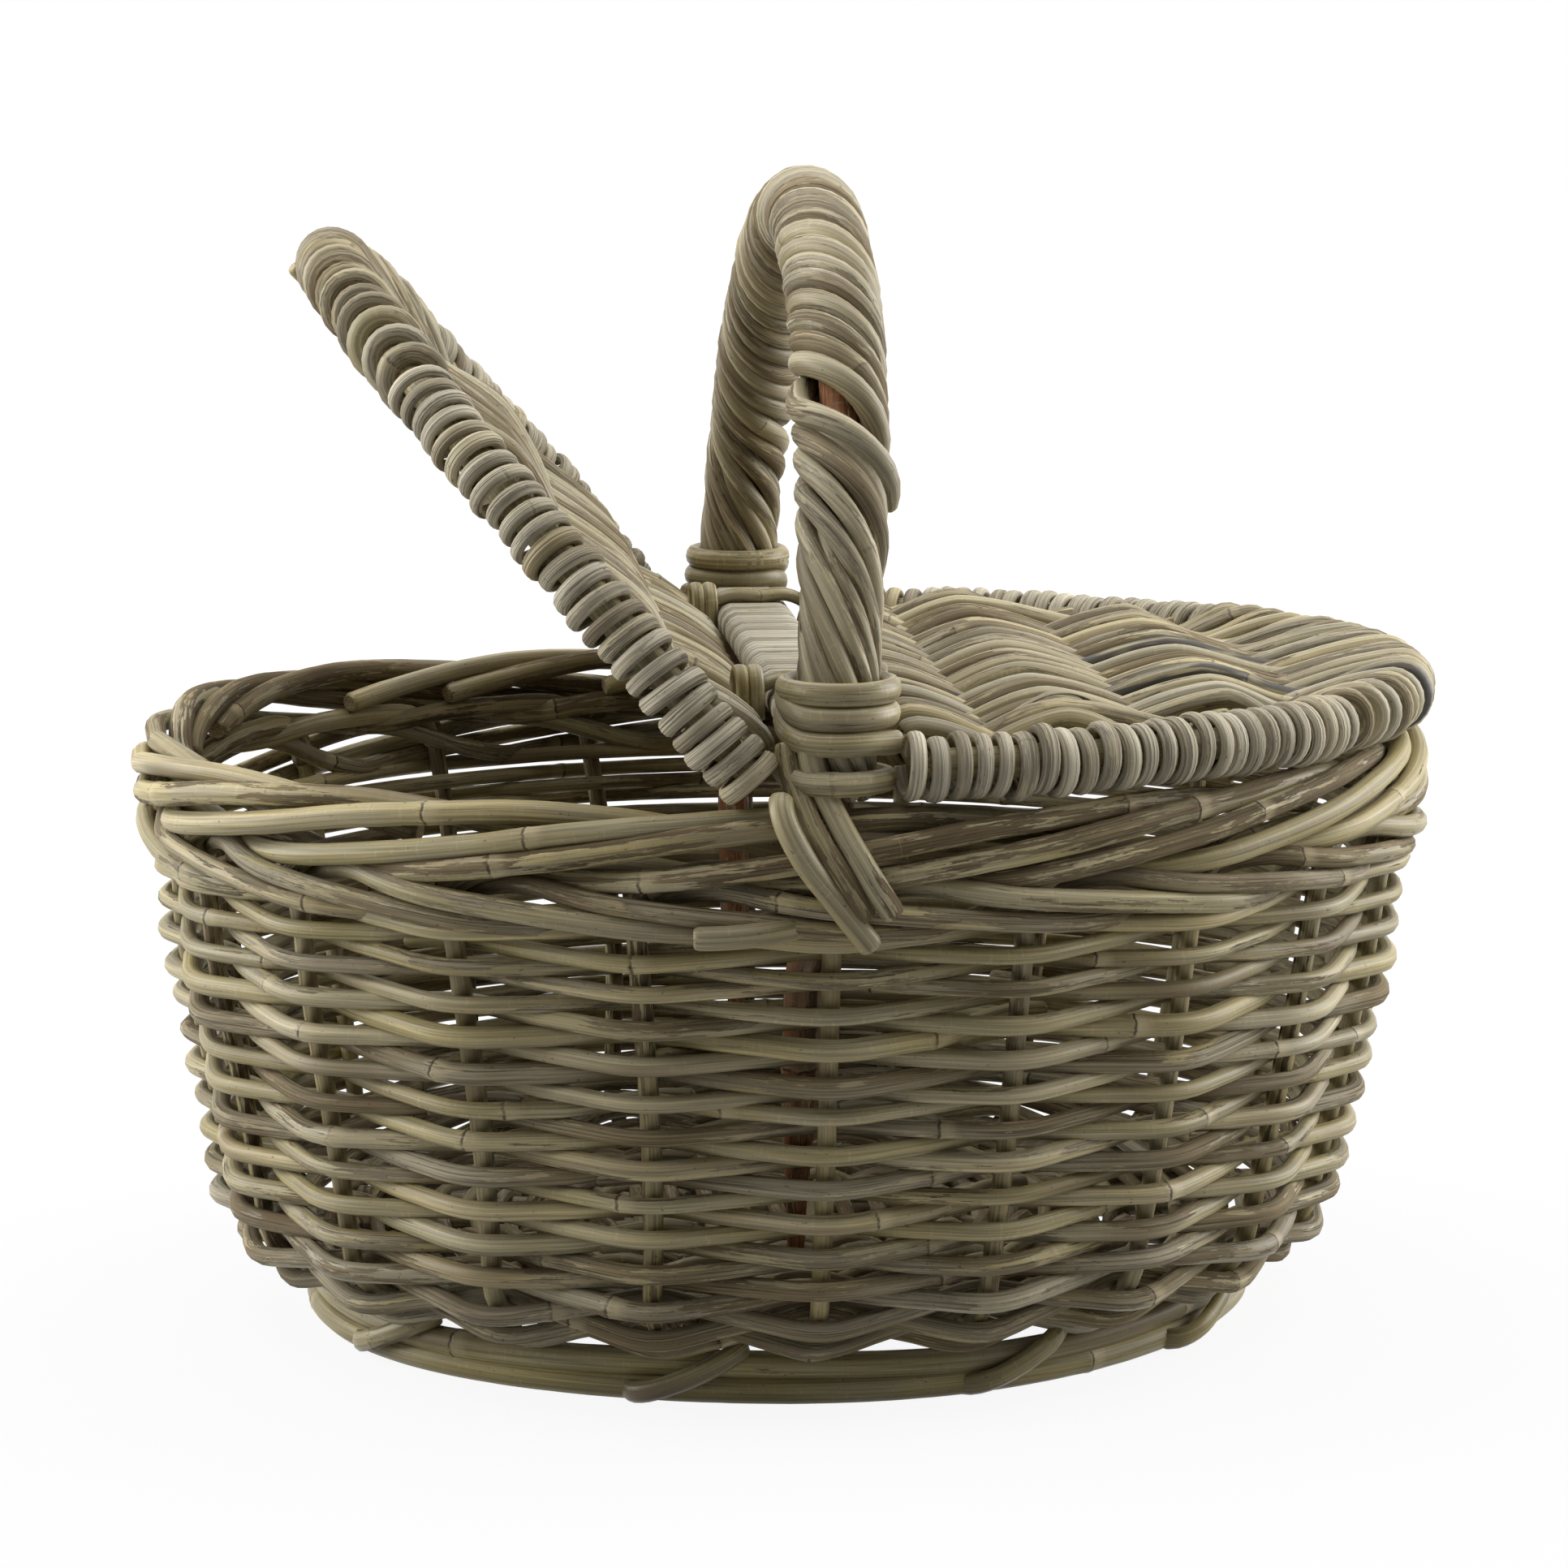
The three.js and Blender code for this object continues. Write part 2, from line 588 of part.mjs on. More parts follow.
const hingeOffset = lashOuter + RAIL_TO_LASHING + RAIL_DIAMETER / 2;
const lidRimOuter = LID_RIM_DIAMETER / 2 + LID_WRAP_ALLOWANCE + LID_WRAP_THICKNESS;
const hingeHeight = RIM_HEIGHT + LID_SEAT_GAP + lidRimOuter;
const strapRadius = RAIL_DIAMETER / 2 + CLEARANCE + STRAP_THICKNESS / 2;
const strapHeight = barMiddle + BAR_THICKNESS / 2 + WINDING_CLEARANCE + BAR_WRAP_THICKNESS
  + CLEARANCE + STRAP_THICKNESS / 2;
const barEdge = BAR_WIDTH / 2;
const strapPlace = legAtBar - STRAP_FROM_LEG;

// Half a strap, from the middle of the bar out to its hook under the rail at +X.
function halfStrap() {
  const hook = Array.from({ length: HOOK_STEPS + 1 }, (_, i) => {
    const angle = rad(lerp(STRAP_HOOK_START, STRAP_HOOK_END, i / HOOK_STEPS));
    return [hingeOffset + strapRadius * Math.cos(angle), hingeHeight + strapRadius * Math.sin(angle)];
  });
  return [[0, strapHeight], [barEdge, strapHeight], ...hook];
}

function hingeStrap(y) {
  const half = halfStrap();
  const left = half.slice(1).map(([x, z]) => [-x, z]).reverse();
  const path = [...left, ...half].map(([x, z]) => new THREE.Vector3(x, y, z));
  const across = path.map(() => new THREE.Vector3(0, 1, 0));
  return sweep(path, flatSection(STRAP_WIDTH, STRAP_THICKNESS), across);
}

// A binding goes round the strap on its slope from the bar down to the rail.
function hingeBinding(y, side) {
  const [, edge, top] = halfStrap();
  const slope = new THREE.Vector2(top[0] - edge[0], top[1] - edge[1]);
  const middle = [lerp(edge[0], top[0], BINDING_PLACE), lerp(edge[1], top[1], BINDING_PLACE)];
  slope.normalize();
  const lift = WINDING_CLEARANCE + BINDING_DIAMETER / 2;
  const outline = chamferedOutline(STRAP_WIDTH / 2 + lift, STRAP_THICKNESS / 2 + lift, lift / 2);
  const pitch = BINDING_DIAMETER + 2 * WINDING_CLEARANCE;
  const steps = BINDING_TURNS * outline.length;
  const normals = [];
  const path = Array.from({ length: steps + 1 }, (_, i) => {
    const [across, up] = outline[i % outline.length];
    const travel = (i / steps - 0.5) * BINDING_TURNS * pitch;
    const x = middle[0] + slope.x * travel - slope.y * up;
    const z = middle[1] + slope.y * travel + slope.x * up;
    normals.push(new THREE.Vector3(-side * slope.y * up, across, slope.x * up).normalize());
    return new THREE.Vector3(side * x, y + across, z);
  });
  return { path, normals };
}

for (const [place, y] of [['front', -strapPlace], ['back', strapPlace]]) {
  addPiece(basket, `hinge_strap_${place}`, hingeStrap(y), CANE_FINISH);
  for (const [hand, side] of [['left', -1], ['right', 1]]) {
    addWinding(basket, `hinge_binding_${place}_${hand}`, hingeBinding(y, side),
      roundSection(BINDING_DIAMETER), LOOP_STEPS, BINDING_DIAMETER, BINDING_DIAMETER, LASH_FINISH);
  }
}

// Lids, each in its own group with the hinge axis along Y through the origin and the lid towards +X

const lidRim = {
  length: RIM_LENGTH / 2 - LID_INSET - lidRimOuter,
  width: RIM_WIDTH / 2 - LID_INSET - lidRimOuter,
  z: 0,
};
const weaveEdge = inwards(lidRim, lidRimOuter + WINDING_CLEARANCE);

function onLid(oval, angle) {
  return onOval(oval, angle).sub(new THREE.Vector3(hingeOffset, 0, 0));
}

// The angle at which an oval of the lid lies a given distance out from the rail.
function lidAngleAt(oval, fromRail) {
  return Math.acos((hingeOffset + fromRail) / oval.length);
}

function lidHalfWidthAt(oval, fromRail) {
  return oval.width * Math.sin(lidAngleAt(oval, fromRail));
}

function rodAlongY(diameter, halfLength, x, sides = 8) {
  const path = [-halfLength, halfLength].map((y) => new THREE.Vector3(x, y, 0));
  return sweep(path, roundSection(diameter, sides));
}

function lidRimRod() {
  const end = lidAngleAt(lidRim, RAIL_DIAMETER / 2 + LID_RIM_END_ROOM);
  const path = Array.from({ length: LID_STEPS + 1 }, (_, i) => onLid(lidRim, lerp(-end, end, i / LID_STEPS)));
  return sweep(path, roundSection(LID_RIM_DIAMETER, 6));
}

function lidRimWrap() {
  const end = lidAngleAt(lidRim, LID_WRAP_START);
  const radius = lidRimOuter - LID_WRAP_THICKNESS / 2;
  const steps = LID_WRAP_LOOPS * LOOP_STEPS;
  const normals = [];
  const path = Array.from({ length: steps + 1 }, (_, i) => {
    const place = lerp(-end, end, i / steps);
    const along = onLid(lidRim, place + SMALL_TURN).sub(onLid(lidRim, place - SMALL_TURN)).normalize();
    const level = new THREE.Vector3().crossVectors(along, new THREE.Vector3(0, 0, 1));
    const angle = ((i % LOOP_STEPS) / LOOP_STEPS) * 2 * Math.PI;
    const out = level.multiplyScalar(Math.cos(angle)).add(new THREE.Vector3(0, 0, Math.sin(angle)));
    normals.push(out);
    return onLid(lidRim, place).addScaledVector(out, radius);
  });
  return { path, normals };
}

function block(xLow, xHigh, yLow, yHigh, height) {
  const geometry = new THREE.BoxGeometry(xHigh - xLow, yHigh - yLow, height);
  return geometry.translate((xLow + xHigh) / 2, (yLow + yHigh) / 2, 0);
}

// How far out from the rail an oval of the lid reaches, at a place along the rail.
function lidReachAt(oval, y) {
  return oval.length * Math.sqrt(1 - (y / oval.width) ** 2) - hingeOffset;
}

// One weaver: from the rail over the first rib and under the next, or the other way where over is -1.
function lidWeaver(y, over) {
  const end = lidReachAt(weaveEdge, y);
  const inside = RIB_PLACES.map((place, i) => Math.min(place, (end * (i + 1)) / (RIB_PLACES.length + 1)));
  const half = (LID_WEAVE_THICKNESS - LID_RELIEF) / 2;
  const crossings = [...inside, end].map((x, i) => {
    return new THREE.Vector3(x, y, over * (i % 2 ? -1 : 1) * LID_RELIEF / 2);
  });
  const shift = (height) => crossings.map((point) => point.clone().setZ(point.z + height));
  const rail = [-1, 1].map((side) => new THREE.Vector3(0, y, side * LID_WEAVE_THICKNESS / 2));
  return [rail[1], ...shift(half), ...shift(-half).reverse(), rail[0]];
}

// The woven panel goes round the rail and over the ribs, and is open beside straps and corners.
function lidWeave() {
  const thickness = LID_WEAVE_THICKNESS;
  const halfWidth = lidHalfWidthAt(weaveEdge, LID_WRAP_START);
  const rows = Math.floor(halfWidth / LID_ROW_PITCH);
  const weavers = Array.from({ length: 2 * rows + 1 }, (_, i) => {
    return lidWeaver((i - rows) * LID_ROW_PITCH, i % 2 ? 1 : -1);
  });
  const plate = skin([lidWeaver(-halfWidth, 0), ...weavers, lidWeaver(halfWidth, 0)], false);
  const railCover = legAtBar - lashOuter - WEAVE_TO_LASHING;
  const roll = rodAlongY(thickness, railCover, 0, 10);
  const reach = RIM_WIDTH / 2;
  const tall = 2 * thickness;
  const strapRoom = STRAP_WIDTH / 2 + STRAP_ROOM;
  const tools = [rodAlongY(RAIL_DIAMETER + 2 * CLEARANCE, reach, 0)];
  for (const place of RIB_PLACES) tools.push(rodAlongY(RIB_DIAMETER + 2 * CLEARANCE, reach, place));
  for (const side of [-1, 1]) {
    const [low, high] = [side * strapPlace - strapRoom, side * strapPlace + strapRoom];
    tools.push(block(-tall, STRAP_SWING_ROOM, low, high, tall));
    const corner = [side * railCover, side * reach].sort((a, b) => a - b);
    tools.push(block(-tall, LID_WRAP_START, corner[0], corner[1], tall));
  }
  let solid = toSolid(plate).add(toSolid(roll));
  for (const tool of tools) solid = solid.subtract(toSolid(tool));
  return toGeometry(solid);
}

function addLid(name) {
  const lid = new THREE.Group();
  const railHalf = lidHalfWidthAt(lidRim, 0) + LID_RIM_DIAMETER / 2;
  addPiece(lid, `${name}_rail`, rodAlongY(RAIL_DIAMETER, railHalf, 0), STAKE_FINISH);
  addPiece(lid, `${name}_rim`, lidRimRod(), STAKE_FINISH);
  RIB_PLACES.forEach((place, i) => {
    const half = lidHalfWidthAt(weaveEdge, place + RIB_DIAMETER / 2) - CLEARANCE;
    addPiece(lid, `${name}_rib_${i + 1}`, rodAlongY(RIB_DIAMETER, half, place), STAKE_FINISH);
  });
  addPiece(lid, `${name}_weave`, lidWeave(), LID_FINISH);
  addWinding(lid, `${name}_rim_wrap`, lidRimWrap(), flatSection(LID_WRAP_THICKNESS, LID_WRAP_WIDTH),
    LOOP_STEPS, LID_WRAP_WIDTH, LID_WRAP_THICKNESS, WRAP_FINISH);
  return lid;
}

const rightLid = addLid('right_lid');
rightLid.position.set(hingeOffset, 0, hingeHeight);
const leftLid = addLid('left_lid');
leftLid.rotation.set(0, rad(LID_OPEN_ANGLE), Math.PI, 'YZX');
leftLid.position.set(-hingeOffset, 0, hingeHeight);
basket.add(rightLid, leftLid);

export default basket;
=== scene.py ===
"""Looks of a lidded oval picnic basket of unpeeled rattan, in metres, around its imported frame.

Every rod is a centre line worked out in Python and swept by one Geometry Nodes tree, which gives it
an uneven bark. The finishes read the place on each rod from attributes that the sweep keeps.
"""
import json
import math
from typing import NamedTuple

import bpy
import numpy as np
from mathutils import Matrix, Vector


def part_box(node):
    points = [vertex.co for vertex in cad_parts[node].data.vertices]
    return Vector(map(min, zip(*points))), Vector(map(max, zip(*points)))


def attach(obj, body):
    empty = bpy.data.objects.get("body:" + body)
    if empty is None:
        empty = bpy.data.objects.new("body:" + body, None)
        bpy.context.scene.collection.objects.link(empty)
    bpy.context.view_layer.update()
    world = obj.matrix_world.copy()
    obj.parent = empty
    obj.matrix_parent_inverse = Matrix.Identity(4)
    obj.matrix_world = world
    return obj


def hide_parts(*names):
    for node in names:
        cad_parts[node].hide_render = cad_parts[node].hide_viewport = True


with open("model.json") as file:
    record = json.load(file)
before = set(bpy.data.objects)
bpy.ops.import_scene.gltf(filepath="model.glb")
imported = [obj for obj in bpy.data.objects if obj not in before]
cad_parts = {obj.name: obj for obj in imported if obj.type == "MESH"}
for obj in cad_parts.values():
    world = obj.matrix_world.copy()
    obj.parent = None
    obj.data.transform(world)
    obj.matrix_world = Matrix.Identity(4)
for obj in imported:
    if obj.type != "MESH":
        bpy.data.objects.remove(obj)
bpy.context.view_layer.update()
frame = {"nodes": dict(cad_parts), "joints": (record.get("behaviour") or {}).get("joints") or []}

bl_info = {
    "name": "Rattan picnic basket",
    "version": (1, 0, 0),
    "blender": (4, 5, 0),
    "location": "View3D > Sidebar > Basket",
    "description": "Weaves, binds and finishes a lidded picnic basket round its packed frame",
    "category": "Add Mesh",
}

MM = 0.001
TAU = 2 * math.pi
UP = np.array((0.0, 0.0, 1.0))
# Step for the direction of a line at a point of it
SMALL_TURN = 1e-4


# Sizes and places taken from the frame

def corners(node):
    """Lowest and highest corner of a piece of the frame."""
    low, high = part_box(node)
    return np.array(low), np.array(high)


def nodes_named(start):
    """Names of the frame's pieces that begin alike, in order."""
    return sorted(name for name in frame["nodes"] if name.startswith(start))


BORDER_LOW, RIM = corners("border")
WALE_LOW = corners("top_wale")[0]
SHOULDER = corners("bottom_wale")[1]
BASE_LOW, BASE_EDGE = corners("base_panel")
FOOT_LOW, FOOT_EDGE = corners("foot_rod_lower")
FOOT_ROD_RADIUS = (FOOT_EDGE[2] - FOOT_LOW[2]) / 2
UPPER_FOOT_LOW = corners("foot_rod_upper")[0]
STAKES = nodes_named("stake_")
WALL_HALF = 9 * MM
BASE_HALF = (BASE_EDGE[2] - BASE_LOW[2]) / 2

# The frame's core has eight sides, so its box ends at their flats
CORE_SIDES = 8
CORE_RADIUS = 7 * MM
CORE_FLAT = CORE_RADIUS * math.cos(math.pi / CORE_SIDES)
CORE_LOW, CORE_HIGH = corners("handle_core")
HOOP_SPAN = CORE_HIGH[1] - CORE_FLAT
HOOP_RISE = CORE_HIGH[2] - CORE_FLAT - RIM[2]
HOOP_LEAN = CORE_HIGH[0] - CORE_FLAT
HOOP_SIDE = np.array((HOOP_RISE, 0.0, -HOOP_LEAN)) / math.hypot(HOOP_RISE, HOOP_LEAN)

BAR_LOW, BAR_HIGH = corners("cross_bar")
CANE_LOW, CANE_HIGH = corners("cross_bar_wrap")
STRAP_LOW, STRAP_HIGH = corners("hinge_strap_back")
STRAP_PLACE = (STRAP_LOW[1] + STRAP_HIGH[1]) / 2

HINGES = {joint["child"]: joint for joint in frame["joints"]}
HINGE_OFFSET = HINGES["right_lid"]["pos_m"][0]
HINGE_HEIGHT = HINGES["right_lid"]["pos_m"][2]
WRAP_LOW, WRAP_HIGH = corners("right_lid_rim_wrap")
LID_EDGE = (WRAP_HIGH[2] - WRAP_LOW[2]) / 2
LID_LENGTH = WRAP_HIGH[0] - LID_EDGE
LID_WIDTH = RIM[1] - (RIM[0] - WRAP_HIGH[0]) - LID_EDGE
RAIL_HIGH = corners("right_lid_rail")[1]
RAIL_RADIUS = 5.5 * MM
LID_ROD_RADIUS = 5.6 * MM
RIBS = [float(sum(c[0] for c in corners(f"right_lid_rib_{i}"))) / 2 - HINGE_OFFSET for i in (1, 2)]


def shade(red, green, blue):
    """A colour given as it shows on a screen, from 0 to 255, as linear light."""
    parts = [c / 255 for c in (red, green, blue)]
    return tuple(c / 12.92 if c <= 0.04045 else ((c + 0.055) / 1.055) ** 2.4 for c in parts)


# Settings that a user would change

def length_setting(name, description, default):
    return bpy.props.FloatProperty(name=name, description=description, default=default,
                                   min=0.0001, unit="LENGTH", precision=4)


def colour_setting(name, description, default):
    return bpy.props.FloatVectorProperty(name=name, description=description, default=default,
                                         subtype="COLOR", size=3, min=0.0, max=1.0)


class BasketSizes(bpy.types.PropertyGroup):
    """Thicknesses and spacings of the rods"""

    seed: bpy.props.IntProperty(name="Seed", description="Picks the unevenness of all rods", default=7)
    stake: length_setting("Stake", "Thickness of the upright stakes", 6.9 * MM)
    weaver: length_setting("Weaver", "Thickness of the wall's weavers", 6.9 * MM)
    row: length_setting("Row", "Height of one row of the wall's weave", 6.3 * MM)
    wale: length_setting("Waling rod", "Thickness of the rods under the border", 7.4 * MM)
    border: length_setting("Border rod", "Thickness of the border's rods", 8.4 * MM)
    strand: length_setting("Handle strand", "Width of a strand round the handle", 8.6 * MM)
    lash: length_setting("Lashing", "Width of the rods that bind the handle", 8.4 * MM)
    cane: length_setting("Cane", "Width of the cane round the cross bar", 5.6 * MM)
    lid_weaver: length_setting("Lid weaver", "Thickness of the lids' weavers", 7.8 * MM)
    lid_row: length_setting("Lid row", "Width of one row of the lids' weave", 9.0 * MM)
    wrap: length_setting("Rim wrap", "Width of the strands round a lid's rim", 6.4 * MM)
    wrap_pitch: length_setting("Rim wrap spacing", "From one strand on a lid's rim to the next", 7.1 * MM)


class BasketColours(bpy.types.PropertyGroup):
    """Colours of the bark, the bare rattan and the cut ends"""

    olive: colour_setting("Olive skin", "Smooth skin that has kept its colour", shade(160, 147, 101))
    tan: colour_setting("Tan skin", "Smooth skin rubbed pale", shade(178, 163, 121))
    khaki: colour_setting("Khaki skin", "Smooth skin gone dull", shade(152, 140, 104))
    grey: colour_setting("Grey skin", "Smooth skin gone grey", shade(162, 154, 130))
    # Worn and Brown also make up the base's bark, darker than its own colour, as painted shade.
    worn: colour_setting("Worn", "Bare wood where the skin has come off", shade(122, 107, 79))
    worn_grey: colour_setting("Worn grey", "Bare wood gone grey in the weather", shade(148, 139, 118))
    brown: colour_setting("Brown", "Dark stems and damp places", shade(90, 75, 52))
    pale: colour_setting("Pale", "Scrapes and collars above the knots", shade(190, 175, 140))
    pale_grey: colour_setting("Pale grey", "Strands round the lids' rims", shade(182, 173, 152))
    lash_olive: colour_setting("Lashing", "Smooth skin of the binding rods", shade(148, 135, 89))
    cane_grey: colour_setting("Cane", "Skin of the cane round the cross bar", shade(190, 185, 168))
    core_red: colour_setting("Core", "Red-brown stem inside the handle", shade(150, 98, 62))
    knot: colour_setting("Knot", "Rings where leaves grew, and cracks", shade(50, 40, 28))
    pith: colour_setting("Pith", "Cut ends", shade(178, 158, 122))
    stain: colour_setting("Stain", "Black stains on a few rods", shade(42, 40, 40))


# Trees of nodes

class Graph:
    """Adds nodes to a tree. An input is given as another node's socket or as a plain value."""

    def __init__(self, tree):
        self.tree = tree

    def node(self, kind, inputs=None, **settings):
        made = self.tree.nodes.new(kind)
        for key, value in settings.items():
            setattr(made, key, value)
        for key, value in (inputs or {}).items():
            if isinstance(value, bpy.types.NodeSocket):
                self.tree.links.new(value, made.inputs[key])
            else:
                made.inputs[key].default_value = value
        return made

    def maths(self, operation, first, second=0.0):
        return self.node("ShaderNodeMath", {0: first, 1: second}, operation=operation).outputs[0]

    def vector(self, operation, first, second):
        return self.node("ShaderNodeVectorMath", {0: first, 1: second}, operation=operation).outputs[0]

    def apart(self, vector):
        return self.node("ShaderNodeSeparateXYZ", {"Vector": vector}).outputs

    def together(self, x, y, z):
        return self.node("ShaderNodeCombineXYZ", {"X": x, "Y": y, "Z": z}).outputs[0]

    def band(self, value, start, end, low=0.0, high=1.0):
        """Goes smoothly from low to high as the value goes from start to end."""
        inputs = {"Value": value, "From Min": start, "From Max": end, "To Min": low, "To Max": high}
        return self.node("ShaderNodeMapRange", inputs, interpolation_type="SMOOTHSTEP").outputs[0]

    def mix(self, share, first, second, blend="MIX"):
        inputs = {0: share, 6: first, 7: second}
        made = self.node("ShaderNodeMix", None, data_type="RGBA", blend_type=blend)
        for key, value in inputs.items():
            if isinstance(value, bpy.types.NodeSocket):
                self.tree.links.new(value, made.inputs[key])
            elif key:
                made.inputs[key].default_value = (*value, 1.0)
            else:
                made.inputs[key].default_value = value
        return made.outputs[2]

    def noise(self, place, scale, detail=2.0, roughness=0.55):
        """Smooth noise from 0 to 1, finer along an axis with a larger scale."""
        inputs = {"Vector": self.vector("MULTIPLY", place, scale), "Scale": 1.0,
                  "Detail": detail, "Roughness": roughness}
        return self.node("ShaderNodeTexNoise", inputs).outputs[0]


ROD_INPUTS = (
    ("Sides", "NodeSocketInt"),
    ("Flatness", "NodeSocketFloat"),
    ("Squareness", "NodeSocketFloat"),
    ("Bark relief", "NodeSocketFloat"),
    ("Seed", "NodeSocketInt"),
    ("Finish", "NodeSocketMaterial"),
)
RELIEF_PER_METRE = 70.0
RELIEF_BETWEEN_RODS = 90.0
# A sweep's sides have four corners each, and its cut ends have more
SIDE_CORNERS = 4


def rod_tree():
    """The tree that sweeps centre lines into rods, made once."""
    name = "Rattan rods"
    if name in bpy.data.node_groups:
        return bpy.data.node_groups[name]
    tree = bpy.data.node_groups.new(name, "GeometryNodeTree")
    tree.interface.new_socket("Centre lines", in_out="INPUT", socket_type="NodeSocketGeometry")
    for label, kind in ROD_INPUTS:
        tree.interface.new_socket(label, in_out="INPUT", socket_type=kind)
    tree.interface.new_socket("Rods", in_out="OUTPUT", socket_type="NodeSocketGeometry")
    graph = Graph(tree)
    given = graph.node("NodeGroupInput").outputs

    def kept(attribute, kind):
        return graph.node("GeometryNodeInputNamedAttribute", {"Name": attribute}, data_type=kind).outputs[0]

    def keep(geometry, attribute, value, kind, domain="POINT"):
        inputs = {"Geometry": geometry, "Name": attribute, "Value": value}
        settings = {"data_type": kind, "domain": domain}
        return graph.node("GeometryNodeStoreNamedAttribute", inputs, **settings).outputs[0]

    def squared(value):
        size = graph.maths("POWER", graph.maths("ABSOLUTE", value), given["Squareness"])
        return graph.maths("MULTIPLY", size, graph.maths("SIGN", value))

    # The section: a ring of points, flattened and squared
    ring = graph.node("GeometryNodeCurvePrimitiveCircle", {"Resolution": given["Sides"], "Radius": 1.0})
    x, y, _ = graph.apart(graph.node("GeometryNodeInputPosition").outputs[0])
    place = graph.together(graph.maths("MULTIPLY", squared(x), given["Flatness"]), squared(y), 0.0)
    section = graph.node("GeometryNodeSetPosition", {"Geometry": ring.outputs[0], "Position": place})
    side = graph.node("GeometryNodeInputPosition").outputs[0]
    section = keep(section.outputs[0], "rod_side", side, "FLOAT_VECTOR")

    # The sweep, with an uneven radius
    lines = graph.node("GeometryNodeMeshToCurve", {"Mesh": given["Centre lines"]}).outputs[0]
    inputs = {"Curve": lines, "Normal": kept("rod_facing", "FLOAT_VECTOR")}
    lines = graph.node("GeometryNodeSetCurveNormal", inputs, mode="FREE").outputs[0]
    along = graph.maths("MULTIPLY", kept("rod_along", "FLOAT"), RELIEF_PER_METRE)
    number = graph.maths("MULTIPLY", kept("rod_number", "FLOAT"), RELIEF_BETWEEN_RODS)
    spot = graph.together(along, number, given["Seed"])
    bumps = graph.node("ShaderNodeTexNoise", {"Vector": spot, "Scale": 1.0, "Detail": 2.0}).outputs[0]
    bumps = graph.maths("MULTIPLY", graph.maths("SUBTRACT", bumps, 0.5), given["Bark relief"])
    radius = kept("rod_radius", "FLOAT")
    scale = graph.maths("MULTIPLY", radius, graph.maths("ADD", bumps, 1.0))
    inputs = {"Curve": lines, "Profile Curve": section, "Scale": scale, "Fill Caps": True}
    rods = graph.node("GeometryNodeCurveToMesh", inputs).outputs[0]

    # What the finishes read: the place on the rod, and which faces are cut ends
    out, across, _ = graph.apart(kept("rod_side", "FLOAT_VECTOR"))
    place = graph.together(graph.maths("MULTIPLY", out, radius), graph.maths("MULTIPLY", across, radius),
                           kept("rod_along", "FLOAT"))
    rods = keep(rods, "rod_place", place, "FLOAT_VECTOR")
    points = graph.node("GeometryNodeInputMeshFaceNeighbors").outputs["Vertex Count"]
    is_end = graph.maths("GREATER_THAN", points, SIDE_CORNERS + 0.5)
    rods = keep(rods, "rod_end", is_end, "FLOAT", "FACE")
    is_side = graph.maths("LESS_THAN", points, SIDE_CORNERS + 0.5)
    inputs = {"Geometry": rods, "Selection": is_side, "Shade Smooth": True}
    rods = graph.node("GeometryNodeSetShadeSmooth", inputs, domain="FACE").outputs[0]
    rods = graph.node("GeometryNodeRealizeInstances", {"Geometry": rods}).outputs[0]
    rods = graph.node("GeometryNodeSetMaterial", {"Geometry": rods, "Material": given["Finish"]}).outputs[0]
    graph.node("NodeGroupOutput", {0: rods})
    return tree


# Lines and rods

def unit(vectors):
    return vectors / np.linalg.norm(vectors, axis=-1, keepdims=True)


def lengths_along(path):
    steps = np.linalg.norm(np.diff(path, axis=0), axis=1)
    return np.concatenate([[0.0], np.cumsum(steps)])


def flow(keys, per_span=12):
    """A smooth line through given points."""
    keys = np.asarray(keys, float)
    padded = np.concatenate([[2 * keys[0] - keys[1]], keys, [2 * keys[-1] - keys[-2]]])
    part = np.linspace(0, 1, per_span, endpoint=False)[:, None]
    spans = []
    for before, start, end, after in zip(padded, padded[1:], padded[2:], padded[3:]):
        spans.append(0.5 * (2 * start + (end - before) * part
                            + (2 * before - 5 * start + 4 * end - after) * part ** 2
                            + (3 * start - before - 3 * end + after) * part ** 3))
    return np.concatenate([*spans, keys[-1:]])


def ease(values):
    """Goes from 0 to 1 and is level at both ends."""
    values = np.clip(values, 0, 1)
    return values * values * (3 - 2 * values)


